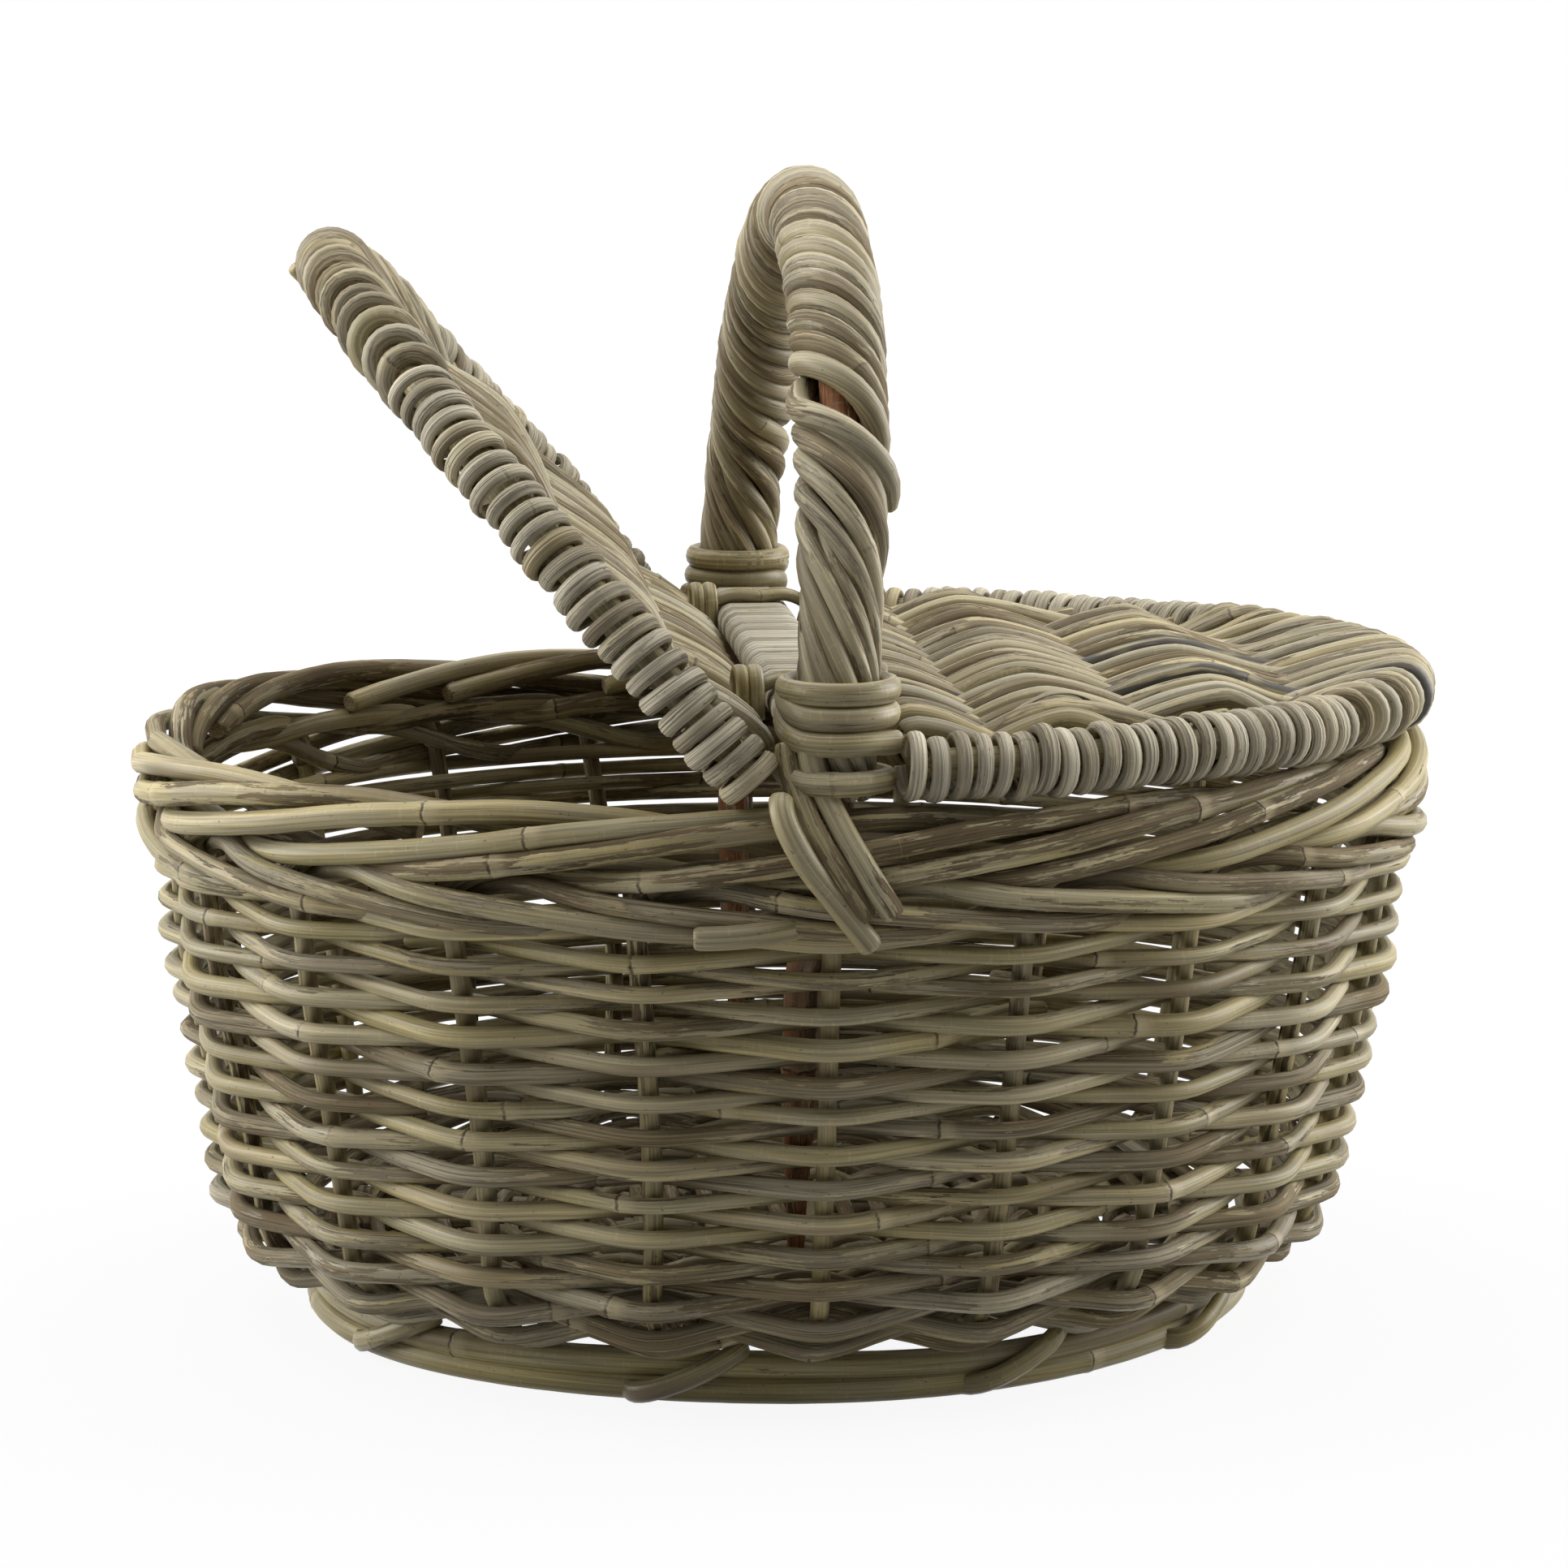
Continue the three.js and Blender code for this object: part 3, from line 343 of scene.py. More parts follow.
class Rods:
    """The rods of one piece: centre lines with a radius, the side that faces out, and knots along them."""

    # Points along a rod: how far apart, and the grid that they keep to
    step = 5 * MM
    grid = 0.2 * MM
    # Knots: how far apart, how far along they swell the rod, and how far from its ends they keep
    knot_spacing = (150 * MM, 420 * MM)
    knot_reach = 2.2 * MM
    knot_margin = 4 * MM
    far_from_knots = 0.5
    # Rounded ends: points in radii from the end, and the share of the radius that is left there
    end_stations = np.array((0.1, 0.25, 0.45))
    end_radius = 0.74

    def __init__(self, name, seed, form=None):
        self.random = np.random.default_rng([seed, *name.encode()])
        self.form = form
        self.parts = {"co": [], "rod_radius": [], "rod_facing": [], "rod_along": [], "rod_knot": [],
                      "rod_number": []}
        self.edges = []
        self.size = 0

    def knots(self, length):
        """Places of the knots along a rod of some length."""
        gaps = self.random.uniform(*self.knot_spacing, size=int(length / self.knot_spacing[0]) + 2)
        gaps[0] *= self.random.random()
        places = np.cumsum(gaps)
        return places[(places > self.knot_margin) & (places < length - self.knot_margin)]

    def add(self, path, radius, facing, step=None, swelling=0.07, number=None):
        """Adds a rod along a close line of points."""
        path = np.asarray(path, float)
        if self.form:
            path = self.form(path)
        facing = np.broadcast_to(np.asarray(facing, float), path.shape)
        radius = np.broadcast_to(np.asarray(radius, float), len(path))
        along = lengths_along(path)
        length = along[-1]

        # Stations along the rod: even steps, the rounded ends and the knots
        knots = self.knots(length)
        ends = self.end_stations * radius[0]
        count = max(2, round(length / (step or self.step)))
        stations = np.concatenate([np.linspace(0, length, count + 1), ends, length - ends, knots,
                                   knots - self.knot_reach, knots + self.knot_reach])
        stations = np.unique(np.round(np.clip(stations, 0, length) / self.grid)) * self.grid
        points = np.stack([np.interp(stations, along, path[:, i]) for i in range(3)], 1)
        outs = np.stack([np.interp(stations, along, facing[:, i]) for i in range(3)], 1)
        tangent = unit(np.gradient(points, stations, axis=0))
        outs = unit(outs - tangent * np.sum(outs * tangent, axis=1, keepdims=True))

        # How far past the nearest knot each station is, and how thick the rod is there
        if len(knots):
            apart = stations[:, None] - knots[None, :]
            knot = apart[np.arange(len(stations)), np.argmin(np.abs(apart), axis=1)]
        else:
            knot = np.full(len(stations), self.far_from_knots)
        thick = np.interp(stations, along, radius)
        to_end = np.minimum(stations, stations[-1] - stations) / (self.end_stations[-1] * radius[0])
        thick = thick * (self.end_radius + (1 - self.end_radius) * np.sqrt(np.clip(to_end, 0, 1)))
        thick = thick * (1 + swelling * np.exp(-(knot / self.knot_reach) ** 2))

        count = len(stations)
        number = self.random.random() if number is None else number
        for key, values in (("co", points), ("rod_radius", thick), ("rod_facing", outs),
                            ("rod_along", stations), ("rod_knot", knot),
                            ("rod_number", np.full(count, number))):
            self.parts[key].append(values)
        first = np.arange(self.size, self.size + count - 1)
        self.edges.append(np.stack([first, first + 1], 1))
        self.size += count

    def mesh(self, name):
        """The centre lines as a mesh of edges, with their attributes."""
        mesh = bpy.data.meshes.new(name)
        edges = np.concatenate(self.edges)
        mesh.vertices.add(self.size)
        mesh.edges.add(len(edges))
        mesh.vertices.foreach_set("co", np.concatenate(self.parts["co"]).astype(np.float32).ravel())
        mesh.edges.foreach_set("vertices", edges.astype(np.int32).ravel())
        for key, values in self.parts.items():
            values = np.concatenate(values).astype(np.float32)
            if key == "co":
                continue
            if values.ndim == 2:
                mesh.attributes.new(key, "FLOAT_VECTOR", "POINT").data.foreach_set("vector", values.ravel())
            else:
                mesh.attributes.new(key, "FLOAT", "POINT").data.foreach_set("value", values)
        return mesh


def sweep(name, rods, finish, sides=10, flatness=1.0, squareness=1.0, relief=0.16, seed=1):
    """Sweeps the rods of one piece into a plain mesh."""
    lines = rods.mesh(name)
    obj = bpy.data.objects.new(name, lines)
    bpy.context.scene.collection.objects.link(obj)
    tree = rod_tree()
    modifier = obj.modifiers.new("Rods", "NODES")
    modifier.node_group = tree
    values = {"Sides": sides, "Flatness": flatness, "Squareness": squareness, "Bark relief": relief,
              "Seed": seed, "Finish": finish}
    for item in tree.interface.items_tree:
        if item.name in values:
            modifier[item.identifier] = values[item.name]
    depsgraph = bpy.context.evaluated_depsgraph_get()
    shown = obj.evaluated_get(depsgraph)
    solid = bpy.data.meshes.new_from_object(shown, preserve_all_data_layers=True, depsgraph=depsgraph)
    obj.modifiers.clear()
    obj.data = solid
    bpy.data.meshes.remove(lines)
    solid.name = name
    if not solid.polygons:
        raise RuntimeError(f"{name} came out empty")
    return obj


def fit(obj, body, slot, *nodes):
    """Puts a piece on its body, in place of pieces of the frame."""
    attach(obj, body)
    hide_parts(*nodes)


# Finishes

class Pattern(NamedTuple):
    """A noise on the bark: its scale per metre is given twice across a rod and once along it.

    Its marks go from low to high where the noise goes from start to end, and cover what is under them
    by a share.
    """

    scale: tuple
    detail: float = 2.0
    roughness: float = 0.55
    start: float = 0.0
    end: float = 1.0
    low: float = 0.0
    high: float = 1.0
    share: float = 1.0


CLOUDS = Pattern((60, 60, 15), 3.0, start=0.4, end=0.7, high=0.6)
SCRAPES = Pattern((170, 170, 700), 3.0, start=0.6, end=0.66, share=0.3)
FINE_LINES = Pattern((1500, 1500, 16), 4.0, 0.65, start=0.3, end=0.66, low=0.5, high=1.18, share=0.7)
STREAKS = Pattern((520, 520, 11), 4.0, 0.7, start=0.3, end=0.64, low=0.46, high=1.2, share=0.7)
WOOD_SHADES = Pattern((45, 45, 12), start=0.38, end=0.62)
GRAIN = Pattern((1050, 1050, 13), 5.0, 0.7, start=0.3, end=0.68, low=0.36, high=1.28, share=0.9)
CRACKS = Pattern((1500, 1500, 17), 3.0, 0.6, start=0.57, end=0.64, share=0.75)
FLAKES = Pattern((420, 420, 42), 4.0, 0.65, start=0.59, end=0.63, share=0.6)
RUBBING = Pattern((190, 190, 17), 6.0, 0.66)
DAMP = Pattern((35, 35, 8), start=0.5, end=0.72, high=0.7)
SPECKS = Pattern((620, 620, 420), start=0.68, end=0.74, share=0.5)
SOOT = Pattern((120, 120, 13), 3.0, 0.6, start=0.47, end=0.54, share=0.9)
KNOT_EDGES = Pattern((300, 300, 0.1))
KNOT_BREAKS = Pattern((260, 260, 40), 3.0, start=0.36, end=0.58, low=0.15)
PORES = Pattern((1400, 1400, 0), 1.0, start=0.35, end=0.6, low=0.45, high=1.05)
GROOVES = Pattern((0, 1000, 5), 1.0, start=0.42, end=0.58)
# How a rod's number moves its patterns and sets its age
PATTERN_SHIFT = (3.1, 7.7, 53.0)
AGE_PER_ROD = 7.31
AGE_SHARE = 0.34
# Where skin goes over to bare wood: over how much rubbing, and the dark line along it
WORN_EDGE = 0.022
DARK_LINE = 0.02
DARK_LINE_SHARE = 0.45
# Of the rods that have stains, the share that is stained in full
STAIN_FULL = 0.9
KNOT_RAGGED = 2.4 * MM
KNOT_RING = (0.25 * MM, 0.75 * MM)
COLLAR_FOOT = (0.2 * MM, 0.8 * MM)
COLLAR_HEAD = (2.5 * MM, 8 * MM)
COLLAR_SHARE = 0.5
# How far each layer raises or lowers the bark
GRAIN_RELIEF = 0.9
WORN_RELIEF = -0.4
FINE_RELIEF = 0.12
RING_RELIEF = -0.7
BARE_ROUGHNESS = 0.78
BARK_SHINE = 0.24
BUMP_HEIGHT = 0.4 * MM
BUMP_STRENGTH = 0.7


class Bark(Graph):
    """The nodes of one finish of rattan, a layer at a time."""

    def __init__(self, tree, colours):
        super().__init__(tree)
        self.colours = colours
        self.number = self.read("rod_number")
        shift = self.together(*[self.some(share, self.number) for share in PATTERN_SHIFT])
        self.place = self.vector("ADD", self.read("rod_place", "Vector"), shift)

    def read(self, attribute, output="Fac"):
        return self.node("ShaderNodeAttribute", None, attribute_name=attribute).outputs[output]

    def some(self, share, value):
        return self.maths("MULTIPLY", value, share)

    def pattern(self, kind):
        return self.noise(self.place, kind.scale, kind.detail, kind.roughness)

    def marks(self, kind, noise=None):
        """A pattern's marks, from its noise or from one made before."""
        if noise is None:
            noise = self.pattern(kind)
        return self.band(noise, kind.start, kind.end, kind.low, kind.high)

    def marked(self, under, kind, colour):
        """A pattern's marks in a colour, over what is under them."""
        return self.mix(self.some(kind.share, self.marks(kind)), under, colour)

    def toned(self, under, kind, noise=None):
        """What is under a pattern, made darker and lighter by it."""
        return self.mix(kind.share, under, self.marks(kind, noise), "MULTIPLY")

    def skin(self, skins, fine):
        """One shade for each rod, with slow changes along it, scrapes and fine lines."""
        ramp = self.node("ShaderNodeValToRGB", {"Fac": self.number})
        stops = ramp.color_ramp.elements
        while len(stops) < len(skins):
            stops.new(0.5)
        for i, colour in enumerate(skins):
            stops[i].position = i / (len(skins) - 1)
            stops[i].color = (*colour, 1.0)
        skin = self.marked(ramp.outputs[0], CLOUDS, self.colours.grey)
        skin = self.marked(skin, SCRAPES, self.colours.pale)
        skin = self.toned(skin, FINE_LINES, fine)
        return self.toned(skin, STREAKS)

    def wood(self, bare, grain, crack):
        """Bare wood in two shades, with deep cracks along it and pale flakes."""
        wood = self.marked(bare[0], WOOD_SHADES, bare[1])
        wood = self.toned(wood, GRAIN, grain)
        wood = self.mix(self.some(CRACKS.share, crack), wood, self.colours.knot)
        return self.marked(wood, FLAKES, self.colours.pale)

    def rubbed(self):
        """How much each place has been rubbed, more on some rods than on others."""
        age = self.maths("FRACT", self.some(AGE_PER_ROD, self.number))
        rub = self.pattern(RUBBING)
        return self.maths("ADD", rub, self.some(AGE_SHARE, self.maths("SUBTRACT", age, 0.5)))

    def weathered(self, bark):
        """Brown damp places and dark specks."""
        bark = self.marked(bark, DAMP, self.colours.brown)
        return self.marked(bark, SPECKS, self.colours.knot)

    def stained(self, bark, stain):
        """Black stains on the rods with the highest numbers."""
        on_these = self.band(self.number, 1 - stain, 1 - STAIN_FULL * stain)
        soot = self.maths("MULTIPLY", self.marks(SOOT), on_these)
        return self.mix(self.some(SOOT.share, soot), bark, self.colours.stain)

    def knot_marks(self):
        """A broken dark ring at each knot, and a collar above it."""
        ragged = self.maths("SUBTRACT", self.pattern(KNOT_EDGES), 0.5)
        knot = self.maths("ADD", self.read("rod_knot"), self.some(KNOT_RAGGED, ragged))
        ring = self.band(self.maths("ABSOLUTE", knot), *KNOT_RING, 1.0, 0.0)
        ring = self.maths("MULTIPLY", ring, self.marks(KNOT_BREAKS))
        below_head = self.band(knot, *COLLAR_HEAD, 1.0, 0.0)
        return ring, self.maths("MULTIPLY", below_head, self.band(knot, *COLLAR_FOOT))

    def cut_ends(self, bark):
        """Porous pith on the ends of the rods."""
        return self.mix(self.read("rod_end"), bark, self.toned(self.colours.pith, PORES))


def rattan(name, skins, bare, colours, wear=0.5, contrast=0.9, gloss=0.45, grooves=0.0, knots=0.8,
           stain=0.0):
    """Smooth skin in several shades, worn through to cracked bare wood, with knots and cut ends."""
    if name in bpy.data.materials:
        return bpy.data.materials[name]
    material = bpy.data.materials.new(name)
    material.use_nodes = True
    bark = Bark(material.node_tree, colours)
    fine = bark.pattern(FINE_LINES)
    grain = bark.pattern(GRAIN)
    crack = bark.marks(CRACKS)
    ring, collar = bark.knot_marks()

    # Colour: skin, bare wood with a dark edge where the skin is gone, then the marks on both
    rub = bark.rubbed()
    worn = bark.band(rub, 1 - wear, 1 - wear + WORN_EDGE)
    colour = bark.mix(bark.some(contrast, worn), bark.skin(skins, fine), bark.wood(bare, grain, crack))
    edge = bark.maths("ABSOLUTE", bark.maths("SUBTRACT", rub, 1 - wear + WORN_EDGE / 2))
    line = bark.band(edge, 0.0, DARK_LINE, DARK_LINE_SHARE * contrast, 0.0)
    colour = bark.mix(line, colour, colours.knot)
    colour = bark.weathered(colour)
    if stain:
        colour = bark.stained(colour, stain)
    colour = bark.mix(bark.some(COLLAR_SHARE * knots, collar), colour, colours.pale)
    colour = bark.mix(bark.some(knots, ring), colour, colours.knot)
    colour = bark.cut_ends(colour)

    # Relief: cracked wood lies lower than the skin, and knots are cut in
    height = bark.maths("SUBTRACT", bark.some(GRAIN_RELIEF, grain), crack)
    height = bark.maths("MULTIPLY", height, worn)
    for share, layer in ((WORN_RELIEF, worn), (FINE_RELIEF, fine), (RING_RELIEF, ring)):
        height = bark.maths("ADD", height, bark.some(share, layer))
    if grooves:
        height = bark.maths("ADD", height, bark.some(grooves, bark.marks(GROOVES)))
    inputs = {"Height": height, "Strength": BUMP_STRENGTH, "Distance": BUMP_HEIGHT}
    bump = bark.node("ShaderNodeBump", inputs).outputs[0]

    surface = material.node_tree.nodes["Principled BSDF"]
    surface.inputs["Specular IOR Level"].default_value = BARK_SHINE
    rough = bark.band(worn, 0.0, 1.0, gloss, BARE_ROUGHNESS)
    for socket, value in (("Base Color", colour), ("Roughness", rough), ("Normal", bump)):
        bark.tree.links.new(value, surface.inputs[socket])
    return material


def weaver_finish(colours):
    skins = (colours.olive, colours.khaki, colours.olive, colours.grey, colours.tan, colours.olive)
    return rattan("weathered_weaver", skins, (colours.worn, colours.worn_grey), colours, wear=0.47)


def rod_finish(colours):
    skins = (colours.olive, colours.khaki, colours.tan, colours.olive)
    return rattan("weathered_rod", skins, (colours.worn, colours.brown), colours, wear=0.43)


def lid_finish(colours):
    skins = (colours.grey, colours.khaki, colours.tan, colours.grey, colours.khaki)
    bare = (colours.worn_grey, colours.worn)
    return rattan("lid_weaver_bark", skins, bare, colours, wear=0.45, knots=0.45, stain=0.1)


def wrap_finish(colours):
    skins = (colours.pale_grey, colours.grey, colours.pale_grey, colours.tan)
    bare = (colours.worn_grey, colours.pale_grey)
    return rattan("rim_wrap_bark", skins, bare, colours, wear=0.5, gloss=0.5, grooves=1.4, knots=0.2)


def strand_finish(colours):
    skins = (colours.grey, colours.khaki, colours.pale_grey, colours.khaki)
    bare = (colours.worn_grey, colours.worn)
    return rattan("handle_strand_bark", skins, bare, colours, wear=0.46, knots=0.3)


def lash_finish(colours):
    skins = (colours.lash_olive, colours.khaki, colours.lash_olive)
    bare = (colours.worn_grey, colours.worn)
    return rattan("smooth_lashing_bark", skins, bare, colours, wear=0.3, contrast=0.6, gloss=0.34, knots=0.2)


def cane_finish(colours):
    skins = (colours.cane_grey, colours.pale_grey, colours.cane_grey)
    bare = (colours.pale_grey, colours.worn_grey)
    return rattan("split_cane", skins, bare, colours, wear=0.34, gloss=0.42, grooves=0.7, knots=0.0)


# Painted shade: the base's bark takes the darker worn and brown shades, for the shade that falls on it
# inside the basket.
def base_painted_shade_finish(colours):
    skins = (colours.worn, colours.khaki, colours.brown)
    return rattan("base_bark_painted_shade", skins, (colours.worn, colours.brown), colours, wear=0.5)


def core_finish(colours):
    skins = (colours.core_red, colours.brown)
    bare = (colours.core_red, colours.brown)
    return rattan("red_core_bark", skins, bare, colours, wear=0.55, gloss=0.45)


# The wall: its middle surface, and places counted in stakes

FINE_STEPS = 3600
CORNER_STEPS = 60
SIDE_STEPS = 80


def oval_run(half_length, half_width):
    """Angles round an oval from the middle of its front, and the length run up to each."""
    turn = np.linspace(-math.pi / 2, 1.5 * math.pi, FINE_STEPS + 1)
    points = np.stack([half_length * np.cos(turn), half_width * np.sin(turn)], 1)
    return turn, lengths_along(points)


def on_oval(angle, length, width, height):
    """Points at angles round a level oval with half its length and half its width given."""
    return np.stack(np.broadcast_arrays(length * np.cos(angle), width * np.sin(angle), height), 1)


def oval_outward(angle, length, width):
    """The way straight out of such an oval at each angle."""
    return unit(np.stack([np.cos(angle) * width, np.sin(angle) * length, 0 * angle], 1))


STAKE_TURN, STAKE_RUN = oval_run(SHOULDER[0], SHOULDER[1])


def angle_at(place):
    """The angle at a place counted in stakes, from the one at the middle of the front."""
    place = np.asarray(place, float)
    rounds = np.floor(place / len(STAKES))
    part = place / len(STAKES) - rounds
    return np.interp(part * STAKE_RUN[-1], STAKE_RUN, STAKE_TURN) + rounds * TAU


class Wall:
    """The middle of the wall. A level is the length up it from the base's edge."""

    def __init__(self):
        turn = np.linspace(0, math.pi / 2, CORNER_STEPS)
        outer = np.array((SHOULDER[0] - WALL_HALF, SHOULDER[1] - WALL_HALF))
        start = BASE_EDGE[:2]
        corner = np.stack([start[0] + (outer[0] - start[0]) * np.sin(turn),
                           start[1] + (outer[1] - start[1]) * np.sin(turn),
                           SHOULDER[2] - (SHOULDER[2] - BASE_LOW[2] - BASE_HALF) * np.cos(turn)], 1)
        rise = np.linspace(0, 1, SIDE_STEPS)[1:, None]
        foot = np.array((*outer, SHOULDER[2]))
        head = np.array((RIM[0] - WALL_HALF, RIM[1] - WALL_HALF, BORDER_LOW[2]))
        side = foot + (head - foot) * rise
        top = np.array(((*head[:2], RIM[2]),))
        self.profile = np.concatenate([corner, side, top])
        self.level = lengths_along(self.profile[:, [0, 2]])
        slope = unit(np.gradient(self.profile[:, [0, 2]], self.level, axis=0))
        self.normal = np.stack([slope[:, 1], -slope[:, 0]], 1)
        self.shoulder_level = self.level[CORNER_STEPS - 1]

    def level_at(self, height):
        return np.interp(height, self.profile[:, 2], self.level)

    def outward(self, place, level):
        """The way out of the wall, square to it, at places counted in stakes and at levels."""
        length, width, _ = (np.interp(level, self.level, self.profile[:, i]) for i in range(3))
        flat = oval_outward(angle_at(place), length, width)
        level_part, rise = (np.interp(level, self.level, self.normal[:, i]) for i in range(2))
        return unit(flat * np.reshape(level_part, (-1, 1)) + UP * np.reshape(rise, (-1, 1)))

    def points(self, place, level, out):
        """Points at places counted in stakes, at levels, at distances outwards from the middle."""
        place, level, out = np.broadcast_arrays(place, level, out)
        length, width, height = (np.interp(level, self.level, self.profile[:, i]) for i in range(3))
        middle = on_oval(angle_at(place), length, width, height)
        return middle + self.outward(place, level) * out[:, None]


WALL = Wall()
# Unevenness of the whole basket: a low part that leans to the left, ends drawn in under the border,
# and a rim that stands higher at the back left
LEAN_REACH = 110 * MM
LEAN = 2.6 * MM
WAIST_HEIGHT = 171 * MM
WAIST_REACH = 21 * MM
WAIST_LEFT = 5.0 * MM
WAIST_RIGHT = 3.0 * MM
HIGH_SIDE = math.radians(158)
HIGH_SIDE_REACH = math.radians(30)
HIGH_SIDE_RISE = 5.0 * MM
HIGH_SIDE_FROM = BORDER_LOW[2] - 3 * MM
HIGH_SIDE_OVER = 7 * MM


def settled(points):
    """The points of a line after the uneven making of the whole basket."""
    x, y, z = points.T
    low = ease((LEAN_REACH - z) / LEAN_REACH)
    waist = np.exp(-((z - WAIST_HEIGHT) / WAIST_REACH) ** 2)
    share = x / RIM[0]
    drawn = WAIST_LEFT * np.clip(-share, 0, 1) ** 4 - WAIST_RIGHT * np.clip(share, 0, 1) ** 4
    turn = (np.arctan2(y / RIM[1], share) - HIGH_SIDE) / HIGH_SIDE_REACH
    rise = HIGH_SIDE_RISE * np.exp(-turn ** 2) * ease((z - HIGH_SIDE_FROM) / HIGH_SIDE_OVER)
    return np.stack([x - LEAN * low + drawn * waist, y, z + rise], 1)


STAKE_LOW_LEVEL = 9 * MM
STAKE_TOP = BORDER_LOW[2] + 3 * MM
STAKE_LEAN = 0.035
STAKE_VARIETY = (0.93, 1.05)
STAKE_STEPS = 60
# Slow waves that make rods uneven, and how fast they go
WANDER_WAVES = 3
WANDER_HEIGHTS = (0.3, 1.0)
WANDER_RATES = (0.25, 0.9)
# Points along a row from one stake to the next
PER_STAKE = 14
WEAVE_REACH = 3.4 * MM
ROW_VARIETY = (0.84, 1.14)
ROW_WANDER = 1.1 * MM
ROW_SWELLING = 0.11
# How much straighter than a wave a row runs past a stake
ROW_SQUARE = 0.1
# A row's two ends, in stakes: how far they lap, and where they start to be drawn in
ROW_LAP = 0.32
ROW_END_FROM = 0.5
ROW_END_OVER = 0.8
ROW_END_IN = 6.5 * MM
ROW_END_UP = 2.2 * MM
ROW_START_IN = 0.8 * MM
ROW_START_DOWN = 1.0 * MM


def wander(random, places, size):
    """A slow unevenness along a row, up to about the size given."""
    waves = []
    for _ in range(WANDER_WAVES):
        height = random.uniform(*WANDER_HEIGHTS)
        rate = random.uniform(*WANDER_RATES)
        waves.append(height * np.sin(places * rate + random.uniform(0, TAU)))
    return size * sum(waves) / 2


def add_row(rods, level, parity, thickness):
    """One row of the wall's weave: a rod in front of one stake and behind the next, all the way round."""
    random = rods.random
    start = 2 * int(random.integers(0, len(STAKES) // 2)) + 1 - parity
    places = np.arange(start - ROW_LAP, start + len(STAKES) + ROW_LAP, 1 / PER_STAKE)
    radius = thickness / 2 * random.uniform(*ROW_VARIETY)
    swing = np.cos(math.pi * (places + parity))
    swing = (swing + ROW_SQUARE * np.cos(3 * math.pi * (places + parity))) / (1 + ROW_SQUARE)
    end = ease((places - (start + len(STAKES) - ROW_END_FROM)) / ROW_END_OVER)
    begin = ease((start + ROW_END_FROM - places) / ROW_END_OVER)
    out = (WEAVE_REACH + radius) * swing - ROW_END_IN * end - ROW_START_IN * begin
    levels = level + wander(random, places, ROW_WANDER) + ROW_END_UP * end - ROW_START_DOWN * begin
    path = WALL.points(places, levels, out)
    rods.add(path, radius, WALL.outward(places, levels), swelling=ROW_SWELLING)


WALE_RODS = 3
LAST_ROW = 175 * MM
WALE_MIDDLE = 184 * MM
WALE_VARIETY = (0.93, 1.07)
WALE_WANDER = 0.7 * MM
WALE_CLOSENESS = 0.98
# A waling rod's two ends, in stakes before its first place and past its last
WALE_START = 1.35
WALE_LAP = 0.4
# How many stakes before the middle of the back the waling starts
WALE_BEFORE_BACK = 3
# A loose rod's end at the front: places in stakes, heights and distances outwards in millimetres
LOOSE_END = (
    (-0.68, 180.3, 13.8), (-0.5, 180.5, 13.0), (-0.3, 180.8, 9.5), (-0.15, 181.0, 4.0), (-0.05, 181.0, -1.0),
)
LOOSE_END_WIDTH = 1.1


def wale_swing(places):
    """In front of two stakes (1) and behind the third (-1)."""
    turn = np.mod(places, WALE_RODS)
    going_in = np.cos(math.pi * (turn - 1))
    return np.where(turn < 1, 1.0, np.where(turn < 2, going_in, -np.cos(math.pi * (turn - 2))))


def add_wale_round(rods, height, thickness, start):
    """A round of three rods, each laid over the two before it."""
    for rod in range(WALE_RODS):
        random = rods.random
        radius = thickness / 2 * random.uniform(*WALE_VARIETY)
        first = start + rod
        places = np.arange(first - WALE_START, first + len(STAKES) + WALE_LAP, 1 / PER_STAKE)
        turn = np.mod(places - first + 0.5, WALE_RODS) - 0.5
        fall = np.where(turn < 1.5, 0.5 - turn, -1 + 2 * ease(turn - 1.5))
        out = (WEAVE_REACH + radius) * wale_swing(places - first)
        heights = height + thickness * fall * WALE_CLOSENESS + wander(random, places, WALE_WANDER)
        levels = WALL.level_at(heights)
        path = WALL.points(places, levels, out)
        rods.add(path, radius, WALL.outward(places, levels))


class BasketStep:
    """What the steps of the making share."""

    bl_options = {"REGISTER"}

    def settings(self, context):
        return context.scene.basket_sizes, context.scene.basket_colours


class BASKET_OT_stakes(BasketStep, bpy.types.Operator):
    """Sets up the stakes that the wall is woven on"""

    bl_idname = "basket.stakes"
    bl_label = "Stakes"

    def execute(self, context):
        sizes, colours = self.settings(context)
        rods = Rods("stakes", sizes.seed, settled)
        top = WALL.level_at(STAKE_TOP)
        levels = np.linspace(STAKE_LOW_LEVEL, top, STAKE_STEPS)
        for place in range(len(STAKES)):
            lean = rods.random.normal(0, STAKE_LEAN)
            places = place + lean * np.sin(math.pi * levels / top)
            path = WALL.points(places, levels, 0.0)
            radius = sizes.stake / 2 * rods.random.uniform(*STAKE_VARIETY)
            rods.add(path, radius, WALL.outward(places, levels))
        fit(sweep("stakes", rods, rod_finish(colours)), "basket", "rod", *STAKES)
        return {"FINISHED"}


